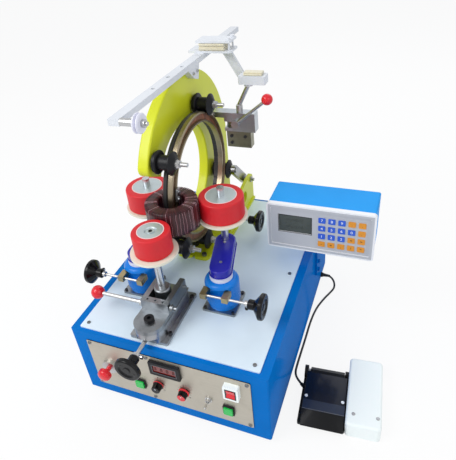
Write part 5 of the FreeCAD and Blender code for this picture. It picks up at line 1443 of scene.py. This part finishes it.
# ------------------------------------------------------------------ cables
@dataclass
class Cables(Builder):
    """The foot switch's cable and the counter's lead."""

    foot: tuple[Point, ...] = (
        (0.263, 0.251, 0.025), (0.277, 0.251, 0.025), (0.2893, 0.2443, 0.020), (0.2969, 0.2326, 0.0125),
        (0.298, 0.2186, 0.006), (0.2899, 0.2003, 0.0032), (0.2754, 0.1662, 0.0032), (0.261, 0.118, 0.0032),
        (0.2562, 0.062, 0.0032), (0.2564, -0.002, 0.0032), (0.2554, -0.058, 0.0032),
        (0.255, -0.096, 0.0032), (0.2558, -0.1228, 0.0034), (0.265211, -0.140430, 0.0042),
        (0.279, -0.152, 0.0046),
    )
    lead: tuple[Point, ...] = (
        (0.342, 0.100, 0.287), (0.342, 0.100, 0.260), (0.337, 0.124, 0.230),
        (0.319, 0.160, 0.208), (0.289, 0.198, 0.196), (0.263, 0.198, 0.196),
    )
    foot_width: float = 0.006
    lead_width: float = 0.007
    foot_length: float = 0.445
    lead_length: float = 0.185
    wall_relief: float = 0.016
    plug_relief: float = 0.018
    thick: float = 0.0022
    thin: float = 0.0005
    bore: float = 0.0004
    ribs: int = 5
    slot_depth: float = 0.0007
    rib: Quad = (0.1, 0.65, 0.72, 0.98)  # its two ends, then its slot's, as shares of the pitch

    def build(self) -> None:
        """Runs both cables with their strain reliefs."""
        foot = self.run("foot_lead", self.foot, self.foot_width, "foot_cable")
        grips = [self.relief("foot_gland_relief", self.foot[:2], self.foot_width, self.wall_relief)]
        lead = self.run("counter_lead", self.lead, self.lead_width, "controller_cable")
        grips = [
            self.relief("plug_relief", self.lead[:2], self.lead_width, self.plug_relief),
            self.relief("wall_relief", self.lead[:-3:-1], self.lead_width, self.wall_relief),
        ]

    def run(self, name: str, route: Sequence[Point], width: float, cad: str) -> Piece:
        """Lays one cable along its route.

        Args:
            name: the cable's name.
            route: its control points.
            width: its diameter.
            cad: the node that it stands for.

        Returns:
            The cable.
        """
        cable = keep(self.line(route, width), name, CABLE_SLEEVE)
        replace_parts(cable, cad)
        return cable

    def relief(self, name: str, ends: Sequence[Point], width: float, length: float) -> Piece:
        """A tapered, ribbed strain relief where a cable leaves.

        Args:
            name: the piece's name.
            ends: where the cable leaves and a point further along it.
            width: the cable's diameter.
            length: the relief's length.

        Returns:
            The relief.
        """
        start, toward = ends
        inside = width / 2 - self.bore
        thick, thin = width / 2 + self.thick, width / 2 + self.thin
        profile = [(0.0, inside), (0.0, thick)]
        for n in range(self.ribs):
            reach = thick + (thin - thick) * n / self.ribs
            slot = reach - self.slot_depth
            places = [length * (n + share) / self.ribs for share in self.rib]
            profile += zip(places, (reach, reach, slot, slot))
        profile += [(length, thin), (length, inside)]
        piece = self.sleeve(profile, start, tuple(Vector(toward) - Vector(start)), sides=24)
        polish(piece, smooth=40)
        return keep(piece, name, BLACK_RUBBER)


# ------------------------------------------------------------------ studio
@dataclass
class Studio(Builder):
    """A pale floor, soft light and the camera."""

    focus: Point = (-0.1846, 0.4257, 0.114)
    distance: float = 1.7745
    angles: Trio = (25.41, 33.03, -6.80)  # azimuth, elevation, roll
    lens: float = 37.58
    sensor: float = 36.0
    farthest: float = 50.0
    shift: Pair = (0.0319, -0.0543)
    lamps: tuple[tuple[str, Point, float, float], ...] = (  # name, place, size, watts
        ("key", (-1.3, -1.6, 2.4), 1.6, 42.0),
        ("fill", (2.0, -1.2, 1.6), 1.8, 8.0),
        ("back", (0.2, 2.2, 2.2), 1.8, 14.0),
    )
    aim: Point = (0.0, 0.0, 0.35)
    white: Colour = (1.0, 1.0, 1.0)
    papers: tuple[Colour, Colour] = ((0.90, 0.90, 0.90), (0.92, 0.92, 0.92))
    sky: Colour = (0.93, 0.96, 1.0)
    sky_light: float = 0.66
    floor_seen: float = 0.88
    floor_shone: float = 0.5
    world_shone: float = 0.6
    floor_size: float = 14.0
    floor_level: float = -0.0004

    def build(self) -> None:
        """Sets up the floor, the world, the lamps and the camera."""
        self.floor()
        self.world()
        for lamp in self.lamps:
            self.lamp(*lamp)
        self.camera()
        bpy.context.scene.view_settings.view_transform = "Standard"

    def ray(self, graph: Graph, kind: str) -> Signal:
        """Whether a ray of one kind is being traced: 1 or 0."""
        return graph.node("ShaderNodeLightPath", output=f"Is {kind} Ray")

    def floor(self) -> None:
        """Lays the floor, which stays white but keeps the shadow."""
        fresh()
        bpy.ops.mesh.primitive_plane_add(size=self.floor_size, location=(0, 0, self.floor_level))
        floor = seat(bpy.context.object)
        floor.name = "floor"
        graph = Graph(bpy.data.materials.new("floor_paper"))
        colour = graph.mix(graph.noise(9.0, 2.0), *self.papers)
        paper = graph.node("ShaderNodeBsdfDiffuse", None, {"Color": colour})
        glow = graph.node("ShaderNodeEmission", None, {"Color": self.white, "Strength": 1.0})
        share = self.ray(graph, "Camera") * self.floor_seen + self.ray(graph, "Glossy") * self.floor_shone
        both = graph.node("ShaderNodeMixShader", None, {0: share, 1: paper, 2: glow})
        floor.data.materials.append(graph.close(both))

    def world(self) -> None:
        """Gives a plain white background and an even sky."""
        world = bpy.data.worlds.new("sky")
        bpy.context.scene.world = world
        graph = Graph(world, "ShaderNodeOutputWorld")
        seen = self.ray(graph, "Camera").maths("MAXIMUM", self.ray(graph, "Transmission"))
        share = seen.maths("MAXIMUM", self.ray(graph, "Glossy") * self.world_shone)
        sky = graph.node("ShaderNodeBackground", None, {"Color": self.sky, "Strength": self.sky_light})
        paper = graph.node("ShaderNodeBackground", None, {"Color": self.white, "Strength": 1.0})
        graph.close(graph.node("ShaderNodeMixShader", None, {0: share, 1: sky, 2: paper}))

    def lamp(self, name: str, place: Point, size: float, power: float) -> None:
        """Hangs a soft area lamp that looks at the machine.

        Args:
            name: the lamp's name.
            place: where it hangs.
            size: the side of its square.
            power: its power in watts.
        """
        light = bpy.data.lights.new(name, "AREA")
        light.energy = power
        light.size = size
        lamp = linked(name, light)
        lamp.location = place
        lamp.rotation_euler = (Vector(self.aim) - Vector(place)).to_track_quat("-Z", "Y").to_euler()

    def camera(self) -> None:
        """Places the camera."""
        azimuth, elevation, roll = (math.radians(angle) for angle in self.angles)
        back = Vector((
            math.sin(azimuth) * math.cos(elevation), -math.cos(azimuth) * math.cos(elevation),
            math.sin(elevation),
        ))
        right = (-back).cross(Vector((0, 0, 1))).normalized()
        above = right.cross(-back)
        across = right * math.cos(roll) + above * math.sin(roll)
        up = -right * math.sin(roll) + above * math.cos(roll)
        data = bpy.data.cameras.new("camera")
        data.sensor_fit = "HORIZONTAL"
        data.sensor_width = self.sensor
        data.lens = self.lens
        data.shift_x, data.shift_y = self.shift
        data.clip_end = self.farthest
        camera = linked("camera", data)
        turn = Matrix((across, up, back)).transposed().to_4x4()
        spot = Vector(self.focus) + back * self.distance
        camera.matrix_world = Matrix.Translation(spot) @ turn
        bpy.context.scene.camera = camera


# ------------------------------------------------------------------ the whole machine
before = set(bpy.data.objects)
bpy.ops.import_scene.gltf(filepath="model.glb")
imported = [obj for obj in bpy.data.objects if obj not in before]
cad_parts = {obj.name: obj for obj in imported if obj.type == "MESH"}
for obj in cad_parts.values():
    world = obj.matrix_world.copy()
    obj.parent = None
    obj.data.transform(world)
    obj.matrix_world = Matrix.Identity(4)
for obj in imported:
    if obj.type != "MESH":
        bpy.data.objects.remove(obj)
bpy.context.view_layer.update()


def main() -> None:
    """Builds the sub-assemblies in order."""
    logging.basicConfig(level=logging.INFO, format="%(name)s: %(message)s")
    for assembly in (
        Cabinet(), ControlPanel(), WindingHead(), CoreAndRollers(), Turrets(), FrontSlide(),
        Gate(), WireGuide(), Controller(), FootSwitch(), Cables(), Studio(),
    ):
        log.info("building %s", type(assembly).__name__)
        assembly.build()


if __name__ == "__main__":
    main()
